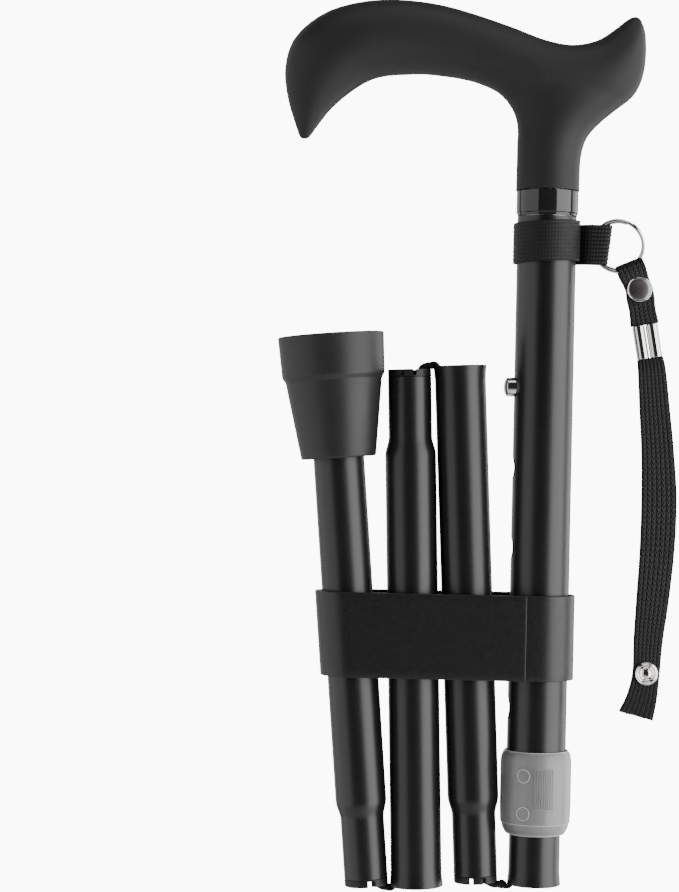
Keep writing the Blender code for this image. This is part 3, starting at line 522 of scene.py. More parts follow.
handleSettings = {
    "ringTop": 258.2,  # above the mouth
    "foot": 0.3,  # above the ring's top, where the handle starts
    "between": 3, "voxel": 0.9, "smoothSteps": 9,
    # x, height, half height, lean of the section in degrees, half depth
    "grip": [(-91.3, 17.9, 1.7, -85, 1.9), (-90.2, 25.0, 5.3, -86, 5.6), (-89.0, 31.8, 8.9, -81, 8.9),
             (-85.8, 40.0, 13.6, -77, 12.3), (-80.7, 47.7, 17.0, -67, 14.7), (-72.7, 53.0, 17.7, -53, 15.9),
             (-64.3, 55.6, 16.5, -38, 16.0), (-53.1, 56.7, 14.6, -20, 15.8), (-40.0, 55.5, 13.3, -5, 15.4),
             (-27.9, 52.8, 12.2, 6, 15.0), (-16.4, 48.8, 12.2, 14, 14.8), (-4.3, 44.2, 12.5, 12, 14.6),
             (7.9, 42.3, 12.6, 2, 14.2), (19.4, 43.4, 13.6, -9, 13.4), (26.6, 47.8, 13.3, -15, 12.0),
             (31.0, 53.0, 11.9, -15, 10.0), (33.1, 58.2, 8.2, -18, 7.2), (34.2, 62.5, 3.6, -20, 3.4)],
    # the hollow where the grip meets the neck: middle, reach and smoothing steps
    "hollow": (-17.0, 33.0), "hollowReach": 15.0, "hollowSteps": 40,
    # height, middle x, half width, half depth
    "neck": [(-5.0, 0.0, 11.85, 11.85), (0.3, 0.0, 11.85, 11.85), (11.6, 0.1, 11.9, 11.9),
             (18.3, 0.8, 12.6, 12.2), (22.8, 2.1, 13.9, 12.6), (27.4, 4.0, 16.6, 13.0),
             (31.9, 5.6, 20.5, 13.4), (35.6, 6.2, 24.4, 13.6), (39.3, 5.0, 27.2, 13.6)],
}


def sectionsShape(sections, sides):
    # ellipses bridged along a curve: each is x, z, half height, lean and half depth as one vector
    packed = [Vector(row) for row in sections]
    count = (len(packed) - 1) * handleSettings["between"]
    shape = bmesh.new()
    last = None
    for k in range(count + 1):
        x, z, half, lean, depth = curvePoint(packed, k / count)
        made = bmesh.ops.create_circle(shape, cap_ends=k in (0, count), segments=sides, radius=1.0)["verts"]
        bmesh.ops.scale(shape, vec=(half * mm, depth * mm, 1.0), verts=made)
        # the circle's X becomes the section's own height direction
        bmesh.ops.rotate(shape, matrix=Matrix.Rotation(math.radians(lean) - math.pi / 2, 3, "Y"), verts=made)
        bmesh.ops.translate(shape, vec=(x * mm, 0, z * mm), verts=made)
        ring = list({e for v in made for e in v.link_edges if all(w in made for w in e.verts)})
        if last:
            bmesh.ops.bridge_loops(shape, edges=last + ring)
        last = ring
    bmesh.ops.recalc_face_normals(shape, faces=shape.faces)
    return shape


def buildHandle():
    s = handleSettings
    lift = mouthHeight / mm + s["ringTop"]
    grip = sectionsShape([(x, z + lift, half, lean, depth) for x, z, half, lean, depth in s["grip"]], 40)
    neck = sectionsShape([(x, z + lift, half, 90.0, depth) for z, x, half, depth in s["neck"]], 48)
    piece = finishPiece("handleGrip", grip, softTouchBlack, "upper", ("handle",), weighted=False)
    neckForm = plainObject("neckForm", neck)
    join = piece.modifiers.new("join", "BOOLEAN")
    join.operation = "UNION"
    join.solver = "EXACT"
    join.object = neckForm
    remesh = piece.modifiers.new("remesh", "REMESH")
    remesh.mode = "VOXEL"
    remesh.voxel_size = s["voxel"] * mm
    smooth = piece.modifiers.new("smooth", "SMOOTH")
    smooth.factor = 0.5
    smooth.iterations = s["smoothSteps"]
    bakeModifiers(piece)
    bpy.data.objects.remove(neckForm)
    shape = bmesh.new()
    shape.from_mesh(piece.data)
    hollow = Vector((s["hollow"][0] * mm, (s["hollow"][1] + lift) * mm))
    near = [v for v in shape.verts if (v.co.xz - hollow).length < s["hollowReach"] * mm]
    for _ in range(s["hollowSteps"]):
        bmesh.ops.smooth_vert(shape, verts=near, factor=0.5,
                              use_axis_x=True, use_axis_y=True, use_axis_z=True)
    # cut the neck off square
    level = (lift + s["foot"]) * mm
    cut = bmesh.ops.bisect_plane(shape, geom=shape.verts[:] + shape.edges[:] + shape.faces[:], dist=1e-7,
                                 plane_co=(0, 0, level), plane_no=(0, 0, -1), clear_outer=True)
    rim = [e for e in cut["geom_cut"] if isinstance(e, bmesh.types.BMEdge)]
    bmesh.ops.holes_fill(shape, edges=rim, sides=0)
    bmesh.ops.recalc_face_normals(shape, faces=shape.faces)
    shape.to_mesh(piece.data)
    shape.free()
    piece.data.shade_smooth()
    piece.data.set_sharp_from_angle(angle=math.radians(50))


buildHandle()
print("stage: handle")


ferruleSettings = {"bottom": 248.9, "top": 258.2, "radius": 11.5, "bore": 9.8,
                   "lip": 0.9, "lipIn": 0.35, "lipSlope": 0.25, "edge": 0.21}


def buildFerrule():
    s = ferruleSettings
    low, top, r = s["bottom"], s["top"], s["radius"]
    lipTop = low + s["lip"]
    outline = [(s["bore"], low), (r - s["lipIn"], low), (r - s["lipIn"], lipTop), (r, lipTop + s["lipSlope"]),
               (r, top), (s["bore"], top)]
    finishPiece("glossFerrule", turned(outline, 96, s["edge"]), glossRing, "upper", ("ring_ferrule",),
                matrix=atMouth)


buildFerrule()

upperTubeSettings = {"bottom": 26.9, "top": 248.6, "radius": 11.0, "bore": 9.8, "rows": 30, "edge": 0.15,
                     "holes": [185.1, 155.1, 125.1, 95.1, 65.1], "holeRadius": 4.3}
innerTubeSettings = {"length": 205.0, "radius": 9.5, "wall": 1.0, "flare": 0.5, "flareLength": 6.5,
                     "edge": 0.15, "hole": 185.1}
sectionSettings = {
    "length": 192.5, "footLength": 190.0, "radius": 9.5, "wall": 1.0, "flare": 0.5, "flareLength": 6.5,
    "neck": 26.0, "neckRadius": 8.1, "shoulder": 5.0, "rim": 2.84, "edge": 0.18,
    # male end and direction from it towards the mouth
    "places": [((-0.021588, 0, -0.31375), (-0.050942, 0, 0.998702)),
               ((-0.05016, 0, -0.123296), (0.033679, 0, -0.999433)),
               ((-0.062275, 0, -0.315793), (-0.085243, 0, 0.99636))],
}


def drillHoles(piece, heights, radius, reach):
    # cut round holes in the tube's wall on the -X side
    shape = bmesh.new()
    for height in heights:
        made = bmesh.ops.create_cone(shape, cap_ends=True, segments=48, depth=reach * mm,
                                     radius1=radius * mm, radius2=radius * mm)["verts"]
        bmesh.ops.rotate(shape, matrix=Matrix.Rotation(math.pi / 2, 3, "Y"), verts=made)
        bmesh.ops.translate(shape, vec=(-reach * mm, 0, mouthHeight + height * mm), verts=made)
    cutAway(piece, shape, 30)
    shadeEvenly(piece)


def flaredMouth(s, end, sign):
    # the outline's points at a mouth, from outside to inside; sign is the way to the mouth
    r, wall = s["radius"], s["wall"]
    outside, inside = [], []
    for share in (0.0, 0.25, 0.5, 0.75, 1.0):
        grow = s["flare"] * share ** 2
        height = end - sign * s["flareLength"] * (1 - share)
        outside.append((r + grow, height))
        inside.append((r + grow - wall, height))
    return outside + inside[::-1]


def buildUpperTube():
    s = upperTubeSettings
    rows = [s["bottom"] + (s["top"] - s["bottom"]) * k / s["rows"] for k in range(s["rows"] + 1)]
    outline = [(s["radius"], z) for z in rows] + [(s["bore"], z) for z in rows[::-1]]
    piece = finishPiece("upperTube", turned(outline, 96, s["edge"]), satinTube, "upper",
                        ("outer_tube",), matrix=atMouth)
    drillHoles(piece, s["holes"], s["holeRadius"], s["radius"])


def buildInnerTube():
    s = innerTubeSettings
    r, top = s["radius"], s["length"]
    outline = [(r - s["wall"], top), (r, top), (r, top / 2)] + flaredMouth(s, 0.0, -1)
    piece = finishPiece("telescopeTube", turned(outline, 96, s["edge"]), satinTube, "telescope",
                        ("inner_tube",), matrix=atMouth)
    drillHoles(piece, [s["hole"]], upperTubeSettings["holeRadius"], upperTubeSettings["radius"])


def shoulderOutline(s, inset):
    # a soft S from the neck to the full tube
    found = []
    for k in range(9):
        share = k / 8
        ease = share * share * (3 - 2 * share)
        found.append((s["neckRadius"] + (s["radius"] - s["neckRadius"]) * ease - inset,
                      s["neck"] - 1.0 + (s["shoulder"] + 2.0) * share))
    return found


def buildSections():
    s = sectionSettings
    for number, (start, direction) in enumerate(s["places"], 1):
        last = number == len(s["places"])
        length = s["footLength"] if last else s["length"]
        if last:
            end = [(s["radius"], length), (s["radius"] - s["wall"], length)]
        else:
            end = flaredMouth(s, length, 1)
        neck = s["neckRadius"]
        outline = ([(neck - s["wall"], s["rim"]), (neck, s["rim"])] + shoulderOutline(s, 0.0)
                   + [(s["radius"], length * 0.5)] + end + [(s["radius"] - s["wall"], length * 0.5)]
                   + shoulderOutline(s, s["wall"])[::-1])
        finishPiece(f"foldingTube{number}", turned(outline, 96, s["edge"]), satinTube, f"section_{number}",
                    (f"section_tube_{number}",), matrix=frameAlong(start, direction))


buildUpperTube()
buildInnerTube()
buildSections()
print("stage: tubes")


bushSettings = {"bore": 5.8, "radius": 8.1, "rim": 2.8, "spigot": 9.2, "spigotRadius": 6.8, "edge": 0.3,
                "slotWidth": 1.3, "slotDepth": 2.3,
                # each bush's front notch: sideways, back to front, and length
                "notches": [(-1.9, 0, 20), (1.7, -8, 8), (1.2, 0, 20)],
                # the others: sideways, back to front, turn and length
                "slots": [(0, 3.2, math.pi / 2, 20), (2.9, -8.1, 0.3, 4)]}


def buildBushes():
    s = bushSettings
    for number, (start, direction) in enumerate(sectionSettings["places"], 1):
        inEnd = s["rim"] + s["spigot"]
        outline = [(s["bore"], 0), (s["radius"], 0), (s["radius"], s["rim"]), (s["spigotRadius"], s["rim"]),
                   (s["spigotRadius"], inEnd), (s["bore"], inEnd)]
        matrix = frameAlong(start, direction)
        piece = finishPiece(f"endBush{number}", turned(outline, 64, s["edge"]), blackNylon,
                            f"section_{number}", (f"end_bush_{number}",), matrix=matrix)
        shape = bmesh.new()
        side = 1 if direction[2] > 0 else -1
        x, y, length = s["notches"][number - 1]
        for x, y, turn, length in [(x * side, y, 0, length)] + s["slots"]:
            made = bmesh.ops.create_cube(shape, size=1.0)["verts"]
            size = (s["slotWidth"] * mm, length * mm, s["slotDepth"] * 2 * mm)
            bmesh.ops.scale(shape, vec=size, verts=made)
            bmesh.ops.rotate(shape, matrix=Matrix.Rotation(turn, 3, "Z"), verts=made)
            bmesh.ops.translate(shape, vec=(x * mm, y * mm, 0), verts=made)
        bmesh.ops.transform(shape, matrix=matrix, verts=shape.verts)
        cutAway(piece, shape, 35, crossing=True)


buildBushes()


collarSettings = {
    "bottom": 18.9, "height": 31.2, "radius": 13.2, "sides": 96, "edge": 0.15,
    "tubeBore": 11.3, "lipBore": 9.9, "lip": 2.4, "bushBore": 11.9, "bushTop": 7.6,
    # radius and height of the outside, below and above the ribs
    "below": [(10.5, 0.0), (11.3, 0.7), (12.1, 2.2), (12.5, 3.7), (12.75, 4.4), (13.0, 5.0), (13.12, 7.6)],
    "above": [(13.15, 27.6), (12.9, 29.0), (12.35, 30.4), (11.7, 31.2)],
    "ribLow": 10.7, "ribHigh": 25.4, "ribInset": 0.20, "ribDepth": 0.35, "ribFields": [(-9, 28), (171, 208)],
    "markRadius": 2.4, "markWire": 0.20, "markHeights": [8.8, 22.7], "markAngle": -25.0,
    # radius, height and thickness of the lip rings, thin rings of lighter plastic that paint a highlight line
    # along the collar's edges
    "highlightLips": [(11.62, 31.0, 0.26), (12.72, 4.5, 0.20), (10.75, 0.45, 0.30)],
}


def buildCollar():
    s = collarSettings
    r, h = s["radius"], s["height"]
    outside = s["below"] + [(r, s["ribLow"]), (r, s["ribHigh"])] + s["above"]
    inside = [(s["tubeBore"], h), (s["tubeBore"], s["bushTop"]), (s["bushBore"], s["bushTop"]),
              (s["bushBore"], s["lip"]), (s["lipBore"], s["lip"]), (s["lipBore"], 0.0)]
    shape = turned(outside + inside, s["sides"])
    ribs = []
    for face in shape.faces:
        middle = face.calc_center_median()
        if not (s["ribLow"] < middle.z / mm < s["ribHigh"]) or middle.xy.length < (r - 0.4) * mm:
            continue
        # degrees round the collar from the front, towards +X
        angle = math.degrees(math.atan2(middle.x, -middle.y))
        if any(low <= angle < high or low <= angle + 360 < high for low, high in s["ribFields"]):
            ribs.append(face)
    bmesh.ops.inset_individual(shape, faces=ribs, thickness=s["ribInset"] * mm, depth=s["ribDepth"] * mm,
                               use_even_offset=True)
    roundEdges(shape, sharpRings(shape, 40), s["edge"])
    lift = Matrix.Translation((0, 0, mouthHeight + s["bottom"] * mm))
    finishPiece("lockCollar", shape, frostedGrey, "lock_collar", ("lock_collar",), sharp=42,
                matrix=lift)
    # thin rings along the collar's edges in the lighter plastic: painted highlight lines, not real lips
    for number, (radius, height, wire) in enumerate(s["highlightLips"], 1):
        ring = turned(arcPoints((radius, height), wire, range(0, 360, 36)), s["sides"])
        finishPiece(f"collarHighlightLip{number}", ring, frostedPaintedHighlight, "lock_collar", sharp=60, matrix=lift)
    for number, height in enumerate(s["markHeights"], 1):

        def place(along, round_):
            a, b = along * math.tau, round_ * math.tau
            out = s["markRadius"] + s["markWire"] * math.cos(b)
            turn = math.radians(s["markAngle"]) + out * math.cos(a) / r
            radius = (r + s["markWire"] * (0.2 + math.sin(b))) * mm
            return Vector((radius * math.sin(turn), -radius * math.cos(turn),
                           mouthHeight + (s["bottom"] + height + out * math.sin(a)) * mm))

        # raised marks on the collar: the relief is real, their lighter frosted plastic is a painted highlight
        mark = gridShape(48, 8, place, (0.016, 0.0014))
        finishPiece(f"collarMark{number}", mark, frostedPaintedHighlight, "lock_collar", weighted=False)


buildCollar()
print("stage: collar")


buttonSettings = {
    "height": 185.1, "radius": 3.6, "tip": 14.9, "flange": 4.6, "seat": 6.85, "flangeHeight": 0.8,
    "dome": 1.5,
    # the groove under the dome: depth, and where it starts and ends below the tip
    "groove": 0.18, "grooveAt": (2.3, 2.15, 1.9, 1.75),
}


def buildButton():
    s = buttonSettings
    r, tip, seat = s["radius"], s["tip"], s["seat"]
    under = seat - s["flangeHeight"]
    groove = [(r - g, tip - d) for g, d in zip((0, s["groove"], s["groove"], 0), s["grooveAt"])]
    rise = s["dome"]
    dome = [(r / rise * x, tip - rise + z) for x, z in arcPoints((0, 0), rise, (0, 20, 40, 60, 78))]
    outline = [(0, under), (s["flange"], under), (s["flange"], seat), (r, seat)] + groove + dome + [(0, tip)]
    matrix = frameAlong((0, 0, mouthHeight + s["height"] * mm), (-1, 0, 0))
    finishPiece("snapButtonPin", turned(outline, 48), brightNickel, "snap_button", ("snap_button",),
                matrix=matrix)


buildButton()


footSettings = {
    "face": 205.6, "openEnd": 159.6, "bore": 9.8, "floor": 193.8,
    # radius and distance from the ground face
    "outside": [(13.55, 46.0), (13.9, 45.7), (14.1, 45.0), (16.1, 31.0), (18.0, 17.3), (18.15, 17.0),
                (18.25, 16.7), (18.95, 15.7), (19.15, 15.1), (19.25, 14.3), (19.5, 8.0), (19.8, 1.2),
                (19.85, 0.35), (19.6, 0.0)],
    # grooves in the sole
    "rings": [17.4, 14.4, 11.4, 8.4, 5.4], "ringHalf": 0.75, "ringSlope": 0.3, "ringDepth": 1.0,
}


def buildFoot():
    s = footSettings
    start, direction = sectionSettings["places"][2]
    face, deep, half = s["face"], s["face"] - s["ringDepth"], s["ringHalf"]
    low = half - s["ringSlope"]
    outline = [(s["bore"], s["openEnd"])] + [(r, face - d) for r, d in s["outside"]]
    for ring in s["rings"]:
        outline += [(ring + half, face), (ring + low, deep), (ring - low, deep), (ring - half, face)]
    outline += [(0, face), (0, s["floor"]), (s["bore"], s["floor"])]
    finishPiece("rubberTip", turned(outline, 96), mattRubber, "section_3", ("rubber_foot",),
                sharp=34, matrix=frameAlong(start, direction))


buildFoot()
print("stage: foot")


cordSettings = {
    "radius": 1.55, "steps": 72,
    "hinges": [(-0.01075, 0, -0.3152), (-0.040833, 0, -0.12098), (-0.052888, 0, -0.316998)],
    # sideways from the tube's axis, past its end, and half the squeezed cord's height, in millimetres
    "leave": [(3.2, -13.0, 1.5), (5.2, -7.5, 1.5), (7.0, -2.6, 1.4), (8.7, 0.55, 0.95), (10.0, 1.1, 0.95)],
    # the same for the gap between the tubes, from the hinge
    "middle": (0.9, -0.6, 1.75),
    "enter": [(8.2, 1.35, 1.35), (6.3, 1.2, 1.3), (4.3, -0.6, 1.45), (3.0, -7.0, 1.5), (2.2, -11.5, 1.5)],
    "keep": 0.12,
}


def buildCordLoops():
    s = cordSettings
    steps = s["steps"]
    mouth, before = Vector((0, 0, mouthHeight)), Vector((0, 0, -1))

    def spot(origin, sideways, onward, row):
        # the squeezed height travels as the point's Y
        d, past, half = row
        return origin + (sideways * d + onward * past + Vector((0, half, 0))) * mm

    for number, (start, direction) in enumerate(sectionSettings["places"], 1):
        male, own = Vector(start), Vector(direction)
        hinge = Vector(s["hinges"][number - 1])
        away = (before - own).normalized()
        sideBefore = Vector((-abs(before.z), 0, before.x * (1 if before.z > 0 else -1)))
        sideOwn = Vector((abs(own.z), 0, -own.x * (1 if own.z > 0 else -1)))
        points = ([spot(mouth, sideBefore, before, row) for row in s["leave"]]
                  + [spot(hinge, sideBefore, away, s["middle"])]
                  + [spot(male, sideOwn, -own, row) for row in s["enter"]])
        route, length = evenCurve(points, steps)

        def place(along, round_):
            k = round(along * steps)
            forward = (route[min(k + 1, steps)] - route[max(k - 1, 0)]) * Vector((1, 0, 1))
            across = Vector((0, 1, 0)).cross(forward.normalized())
            angle = round_ * math.tau
            # a squeezed cord grows wider
            tall, wide = route[k].y, s["radius"] * mm * (s["radius"] * mm / route[k].y) ** 0.5
            return (Vector((route[k].x, 0, route[k].z)) + across * (tall * math.cos(angle))
                    + Vector((0, wide * math.sin(angle), 0)))

        shape = gridShape(steps, 16, place, (length, math.tau * s["radius"] * mm), closed=True)
        piece = finishPiece(f"elasticLoop{number}", shape, elasticCord, f"link_{number}",
                            (f"cord_loop_{number}",), sharp=60, weighted=False)
        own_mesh(piece)
        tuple(mouth)
        mouth, before = male + own * (sectionSettings["length"] * mm), own


buildCordLoops()


bandSettings = {
    "low": 76.6, "height": 31.4, "tubeRadius": 11.0, "endRadius": 9.5,
    "insideRight": 1.15, "insideLeft": 0.5, "layer": 1.05, "gap": 0.06, "edge": 0.22,
    # the flap: its edge on the front, and how far along the back it reaches
    "flapEdge": -5.6, "flapBack": 0.55,
    "endSteps": 24, "rows": 10, "anchorX": 0.0136, "keep": 0.28,
}


def bandMiddle(height):
    # the leaning outermost tube's axis at a height above the mouth, in metres
    start, direction = sectionSettings["places"][2]
    level = mouthHeight + height * mm
    return start[0] + direction[0] * (level - start[2]) / direction[2]


def loopPath(height, leftRadius, rightRadius):
    # points of the closed band line: front straight, left end, back straight, right end
    spread = abs(bandMiddle(height))
    lean = math.degrees(math.asin((rightRadius - leftRadius) / spread))
    steps = bandSettings["endSteps"]
    left = [-90 - lean - (180 - 2 * lean) * k / steps for k in range(steps + 1)]
    right = [90 + lean - (180 + 2 * lean) * k / steps for k in range(steps + 1)]
    return [Vector((x, y, 0)) for x, y in arcPoints((-spread, 0), leftRadius, left)
            + arcPoints((0, 0), rightRadius, right)]


def bandPiece(name, lift, pathOf, along, stands=()):
    # one layer of the band, lifted off the tubes
    s = bandSettings
    rows = s["rows"]
    leftRadius = s["endRadius"] + s["insideLeft"] + s["layer"] / 2 + lift
    rightRadius = s["tubeRadius"] + s["insideRight"] + s["layer"] / 2 + lift
    lines = []
    for row in range(rows + 1):
        height = s["low"] + s["height"] * row / rows
        line, length = evenSteps(pathOf(height, leftRadius * mm, rightRadius * mm), along)
        lines.append(line)

    def place(across, up):
        k, row = round(across * along), round(up * rows)
        point = lines[row][k]
        return Vector((point.x, point.y, mouthHeight + (s["low"] + s["height"] * up) * mm))

    shape = gridShape(along, rows, place, (length, s["height"] * mm))
    piece = finishPiece(name, shape, elasticBand, "upper", stands, sharp=50, weighted=False)
    giveWall(piece, s["layer"], s["edge"])
    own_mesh(piece)


def buildStorageBand():
    s = bandSettings

    def closedPath(height, left, right):
        path = loopPath(height, left, right)
        return path + [path[0].copy()]

    def flapPath(height, left, right):
        # from the flap's edge on the front, leftwards, round the left end and along part of the back
        path = loopPath(height, left, right)
        a, b = path[-1], path[0]
        edge = a.lerp(b, (s["flapEdge"] * mm - a.x) / (b.x - a.x))
        leftEnd, after = path[:s["endSteps"] + 1], path[s["endSteps"] + 1]
        return [edge] + leftEnd + [leftEnd[-1].lerp(after, s["flapBack"])]

    bandPiece("storageBandLoop", 0.0, closedPath, 220, ("storage_band",))
    bandPiece("storageBandFlap", s["layer"] + s["gap"], flapPath, 150)


buildStorageBand()
print("stage: storage band")


webbingSettings = {
    "middle": 239.4, "height": 14.9, "thickness": 1.0, "radius": 11.95, "tilt": 0.055, "drop": 0.1,
    "pocketX": 21.25, "pocket": 1.95, "endSlant": 1.7, "tailHeight": 14.6,
    # the tail's drop at the wrap, and what it gains towards the pocket, from an x over a length
    "tailDrop": 0.585, "tailSag": 0.115, "tailFrom": 12.0, "tailOver": 11.0,
    "ribs": 10, "ribDepth": 0.20, "rows": 80,
    # the tail's front and back layers from the wrap to the pocket
    "tailFront": [(11.8, 0.9), (13.0, 0.0), (15.3, -1.5), (18.4, -1.95)],
    "tailBack": [(18.4, 1.95), (15.3, 2.1), (13.0, 2.9), (11.4, 3.6)],
}


def webbingPiece(name, points, steps, height, lift, stands=()):
    # a closed upright band along the points, with woven ribs; lift(x) moves and slants its ends
    s = webbingSettings
    line, length = evenCurve([p * mm for p in points], steps)

    def place(across, up):
        k, t = round(across * steps) % steps, up - 0.5
        out = (line[(k + 1) % steps] - line[(k - 1) % steps]).normalized()
        out = Vector((out.y, -out.x, 0))
        rise, slant = lift(line[k].x / mm)
        spot = line[k] - out * (s["ribDepth"] * mm * 0.5 * math.cos(math.tau * s["ribs"] * up))
        level = mouthHeight + (s["middle"] + height * t + rise) * mm
        return Vector((spot.x + slant * t * mm, spot.y, level))

    shape = gridShape(steps, s["rows"], place, (length, s["height"] * mm))
    piece = finishPiece(name, shape, ribbedWebbing, "webbing", stands, sharp=60, weighted=False)
    giveWall(piece, s["thickness"])


def buildWebbing():
    s = webbingSettings
    circle = [Vector((x, y, 0)) for x, y in arcPoints((0, 0), s["radius"], range(0, -361, -12))]

    def loopLift(x):
        return s["tilt"] * x - s["drop"], 0.0

    webbingPiece("ribbedLoop", circle, 200, s["height"], loopLift, ("webbing_band",))
    pocket = arcPoints((s["pocketX"], 0), s["pocket"], (-90, -45, 0, 45, 90))
    tail = [Vector((x, y, 0)) for x, y in s["tailFront"] + pocket + s["tailBack"] + s["tailFront"][:1]]

    def tailLift(x):
        share = min(max((x - s["tailFrom"]) / s["tailOver"], 0.0), 1.0)
        return -s["tailDrop"] - s["tailSag"] * share, s["endSlant"] * share

    webbingPiece("ribbedTail", tail, 120, s["tailHeight"], tailLift)


buildWebbing()


ringSettings = {
    "x": 0.0268, "height": 238.6, "radius": 9.30, "wire": 0.64, "turns": 1.96, "offset": 0.42,
    "startAngle": 70.0,
    # half the distance between the two turns, and how sharply the wire steps from one to the other
    "lane": 0.6592, "stepSharpness": 16,
}


def buildSplitRing():
    s = ringSettings

    def place(along, round_):
        turn = along * s["turns"] * math.tau + math.radians(s["startAngle"])
        b = round_ * math.tau
        out = s["radius"] + s["wire"] * math.cos(b)
        lane = math.tanh((along - 0.5) * s["stepSharpness"])
        depth = lane * s["lane"] + s["wire"] * math.sin(b)
        return Vector((s["x"] + out * mm * math.cos(turn), depth * mm,
                       mouthHeight + (s["height"] + lane * s["offset"] + out * math.sin(turn)) * mm))

    size = (s["turns"] * math.tau * s["radius"] * mm, math.tau * s["wire"] * mm)
    shape = gridShape(200, 14, place, size, closed=True)
    finishPiece("wireRing", shape, brightNickel, "key_ring", ("split_ring",), sharp=60,
                weighted=False)


buildSplitRing()
print("stage: webbing and ring")


strapSettings = {
    "wire": (0.03189, 0, -0.08455), "bearing": -67.3, "snapAt": 7.8, "tabLength": 21.2, "tabTurn": -80.0,
    "tabWidth": 10.1, "thickness": 1.05, "edge": 0.2, "wireGap": 1.95, "layerGap": 0.08,
    "clipAfter": 0.12, "clipHeight": 12.3, "clipRadius": 2.3, "clipWall": 0.4,
    # x and z below the clip, and half width
    "line": [(0.0, -0.02, 4.75), (0.9, -5.0, 5.15), (2.2, -19.0, 5.6), (3.6, -34.5, 6.0),
             (4.5, -52.4, 6.5), (4.2, -71.1, 6.4), (2.9, -89.8, 6.0), (1.6, -104.7, 5.4),
             (1.0, -117.7, 5.0), (-0.4, -126.9, 5.6), (-2.5, -133.7, 6.5)],
    "stud": (1.0, -117.7), "snapRadius": 4.75, "studRadius": 4.3,
    # the long strap's layers: distance from the middle, how far they bulge apart, and their ripple
    "layerAt": 0.62, "bulge": 0.16, "ripple": 0.108,
    # the cut end stands square to its last stretch, from this share on, and frays a little
    "endFrom": 0.9, "endHeading": (-0.25, 0, -0.97), "frayFrom": 0.985, "fray": 0.35,
}


def strapDirections():
    s = strapSettings
    a, b = math.radians(s["bearing"]), math.radians(s["tabTurn"])
    return Vector((math.cos(a), 0, math.sin(a))), Vector((math.cos(b), 0, math.sin(b)))


def strapPoint(v):
    # the short strap's middle line at v millimetres from the wire
    s = strapSettings
    out, down = strapDirections()
    wire = Vector(s["wire"])
    if v <= s["snapAt"]:
        return wire + out * (v * mm), out
    return wire + out * (s["snapAt"] * mm) + down * ((v - s["snapAt"]) * mm), down


def buildTab():
    # the folded short strap: front layer up, over the ring's wire, back layer down
    s = strapSettings
    half, gap = s["thickness"] / 2 + s["layerGap"], s["wireGap"]
    side = [(s["tabLength"], half), (14.0, half), (s["snapAt"], half), (5.2, half + 0.1), (3.0, half + 0.9),
            (1.2, gap), (-0.4, gap), (-1.7, gap * 0.9), (-2.5, gap * 0.55)]
    profile = [(v, -y) for v, y in side] + [(-2.85, 0.0)] + [(v, y) for v, y in side[::-1]]
    steps, rows = 120, 12
    line, length = evenCurve([Vector((v * mm, y * mm, 0)) for v, y in profile], steps)

    def place(along, across):
        spot = line[round(along * steps)]
        v = spot.x / mm
        middle, _ = strapPoint(v)
        # the strap's direction turns over the 5 mm round the snap
        high, low = strapDirections()
        blend = min(max((v - s["snapAt"] + 2.5) / 5.0, 0.0), 1.0)
        heading = high.lerp(low, blend).normalized()
        sideways = Vector((-heading.z, 0, heading.x))
        width = s["tabWidth"] * (1.0 + 0.03 * math.cos(v * 0.6))
        return middle + sideways * ((across - 0.5) * width * mm) + Vector((0, spot.y, 0))

    shape = gridShape(steps, rows, place, (length, s["tabWidth"] * mm))
    piece = finishPiece("strapTab", shape, braidedStrap, "wrist_strap", ("strap_tab",), sharp=60,
                        weighted=False)
    giveWall(piece, s["thickness"], s["edge"])


def clipEnds():
    # the clip's upper end, its lower end and the direction down it
    s = strapSettings
    top, down = strapPoint(s["tabLength"] + s["clipAfter"])
    return top, top + down * (s["clipHeight"] * mm), down


def buildLongStrap():
    s = strapSettings
    _, base, _ = clipEnds()
    steps, rows = 200, 14
    points = [Vector(row) for row in s["line"]]
    route = [curvePoint(points, k / steps) for k in range(steps + 1)]
    for name, side, node in (("strapFront", -1, "strap_front"), ("strapBack", 1, "strap_back")):

        def place(along, across):
            k = round(along * steps)
            x, z, half = route[k]
            ahead, behind = route[min(k + 1, steps)], route[max(k - 1, 0)]
            heading = Vector((ahead.x - behind.x, 0, ahead.y - behind.y))
            if along > s["endFrom"]:
                heading = Vector(s["endHeading"])
            heading.normalize()
            sideways = Vector((-heading.z, 0, heading.x))
            ripple = s["ripple"] * math.sin(along * 9.0 + side) * math.sin(math.pi * across)
            depth = side * (s["layerAt"] + s["bulge"] * math.sin(math.pi * min(along * 1.1, 1.0))) + ripple
            ragged = 0.0
            if along > s["frayFrom"]:
                ragged = s["fray"] * noise.noise(Vector((across * 40.0, side * 3.0, 1.0)))
            out = 2 * half * (across - 0.5)
            return base + (Vector((x, depth, z)) + sideways * out + heading * ragged) * mm

        shape = gridShape(steps, rows, place, (0.135, 0.0125))
        piece = finishPiece(name, shape, braidedStrap, "wrist_strap", (node,), sharp=60,
                            weighted=False)
        giveWall(piece, s["thickness"], s["edge"])


def buildClip():
    s = strapSettings
    top, _, down = clipEnds()
    across = Vector((-down.z, 0, down.x))
    r, wall, h = s["clipRadius"], s["clipWall"], s["clipHeight"]
    for number, side in enumerate((-1, 1), 1):
        at = top + across * (side * (r + 0.15) * mm)
        outline = [(r - wall - 0.1, 0), (r - 0.08, 0), (r, 0.14), (r, h * 0.5), (r, h - 0.14), (r - 0.08, h),
                   (r - wall - 0.1, h), (r - wall, h * 0.5)]
        finishPiece(f"clipBarrel{number}", turned(outline, 48), brightNickel, "wrist_strap",
                    (f"clip_barrel_{number}",), matrix=frameAlong(at, down))
        bore = r - wall
        core = turned([(0, -0.15), (bore - 0.2, -0.15), (bore - 0.12, 0.4), (bore - 0.12, h - 0.4),
                       (bore - 0.2, h + 0.1), (0, h + 0.1)], 24)
        finishPiece(f"clipCore{number}", core, blackNylon, "wrist_strap",
                    matrix=frameAlong(at, down))


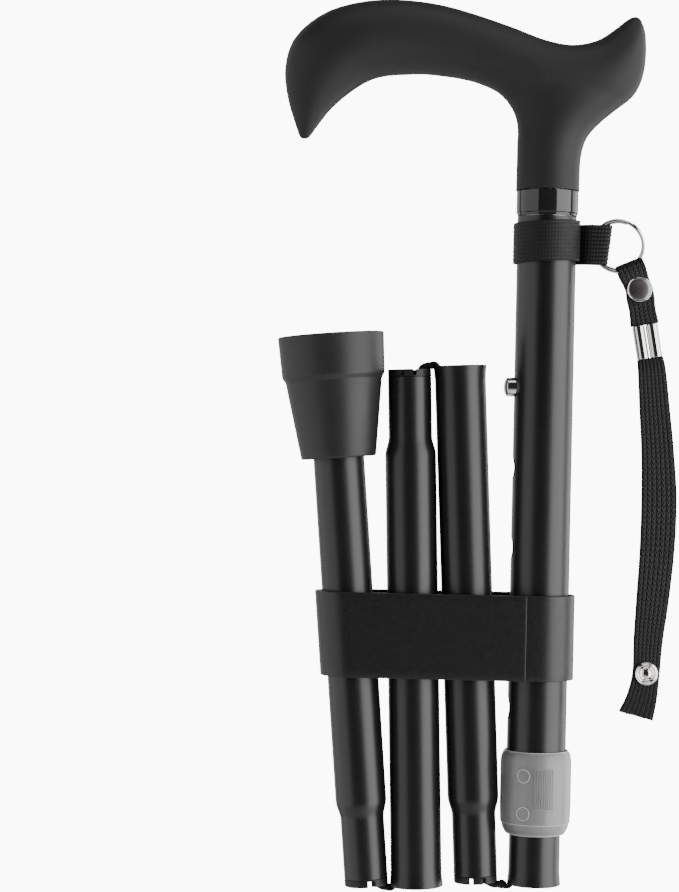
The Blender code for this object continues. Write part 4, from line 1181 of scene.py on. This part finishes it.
def snapHead(name, radius, centre, depth, stands, capLook=None):
    # a rimmed snap facing the front, with a dome in the cap's finish
    face = depth + 0.05
    outline = [(0, face - 0.2), (radius * 0.9, face - 0.2), (radius, face + 0.15), (radius, face + 0.45),
               (radius * 0.975, face + 0.68), (radius * 0.94, face + 0.74), (radius * 0.90, face + 0.62)]
    matrix = frameFacing(centre)
    if capLook is None:
        # plain rings in place of a smooth cap
        for k, share in enumerate((0.80, 0.68, 0.56, 0.44, 0.32)):
            outline.append((radius * share, face + (0.92 if k % 2 == 0 else 0.55)))
        outline += [(radius * 0.18, face + 1.1), (0, face + 1.15)]
        finishPiece(name, turned(outline, 64), brightNickel, "wrist_strap", stands, sharp=48,
                    matrix=matrix)
        return
    outline.append((0, face + 0.55))
    finishPiece(name, turned(outline, 64), brightNickel, "wrist_strap", stands, matrix=matrix)
    edge, low, rise = radius * 0.885, face + 0.56, 0.5
    dome = [(edge / rise * x, low + z) for x, z in arcPoints((0, 0), rise, (0, 12, 25, 40, 56, 72))]
    dome = [(0, face + 0.5), (edge, face + 0.5)] + dome + [(0, low + rise)]
    finishPiece(name + "Dome", turned(dome, 64), capLook, "wrist_strap", matrix=matrix)


def snapSocket(name, radius, centre, depth, node):
    # the ring-shaped socket half behind the strap
    r = radius * 0.86
    low = -(depth + 0.05)
    outline = [(0, low - 0.35), (r * 0.34, low - 0.35), (r * 0.42, low - 1.25), (r * 0.60, low - 1.45),
               (r * 0.70, low - 1.3), (r * 0.74, low - 0.7), (r * 0.92, low - 0.55), (r, low - 0.3),
               (r, low), (0, low)]
    finishPiece(name, turned(outline, 56), brightNickel, "wrist_strap", (node,),
                matrix=frameFacing(centre))


def buildSnaps():
    s = strapSettings
    centre, _ = strapPoint(s["snapAt"])
    snapHead("snapRim", s["snapRadius"], centre, 1.15, ("snap_cap",), mirrorDome)
    snapSocket("snapBack", s["snapRadius"], centre, 1.15, "snap_socket")
    _, base, _ = clipEnds()
    x, z = s["stud"]
    middle = base + Vector((x * mm, 0, z * mm))
    snapHead("studHead", s["studRadius"], middle, 1.25, ("stud_cap",))
    snapSocket("studBack", s["studRadius"], middle, 1.25, "stud_back")


buildTab()
buildLongStrap()
buildClip()
buildSnaps()
print("stage: wrist strap")

bpy.context.view_layer.update()
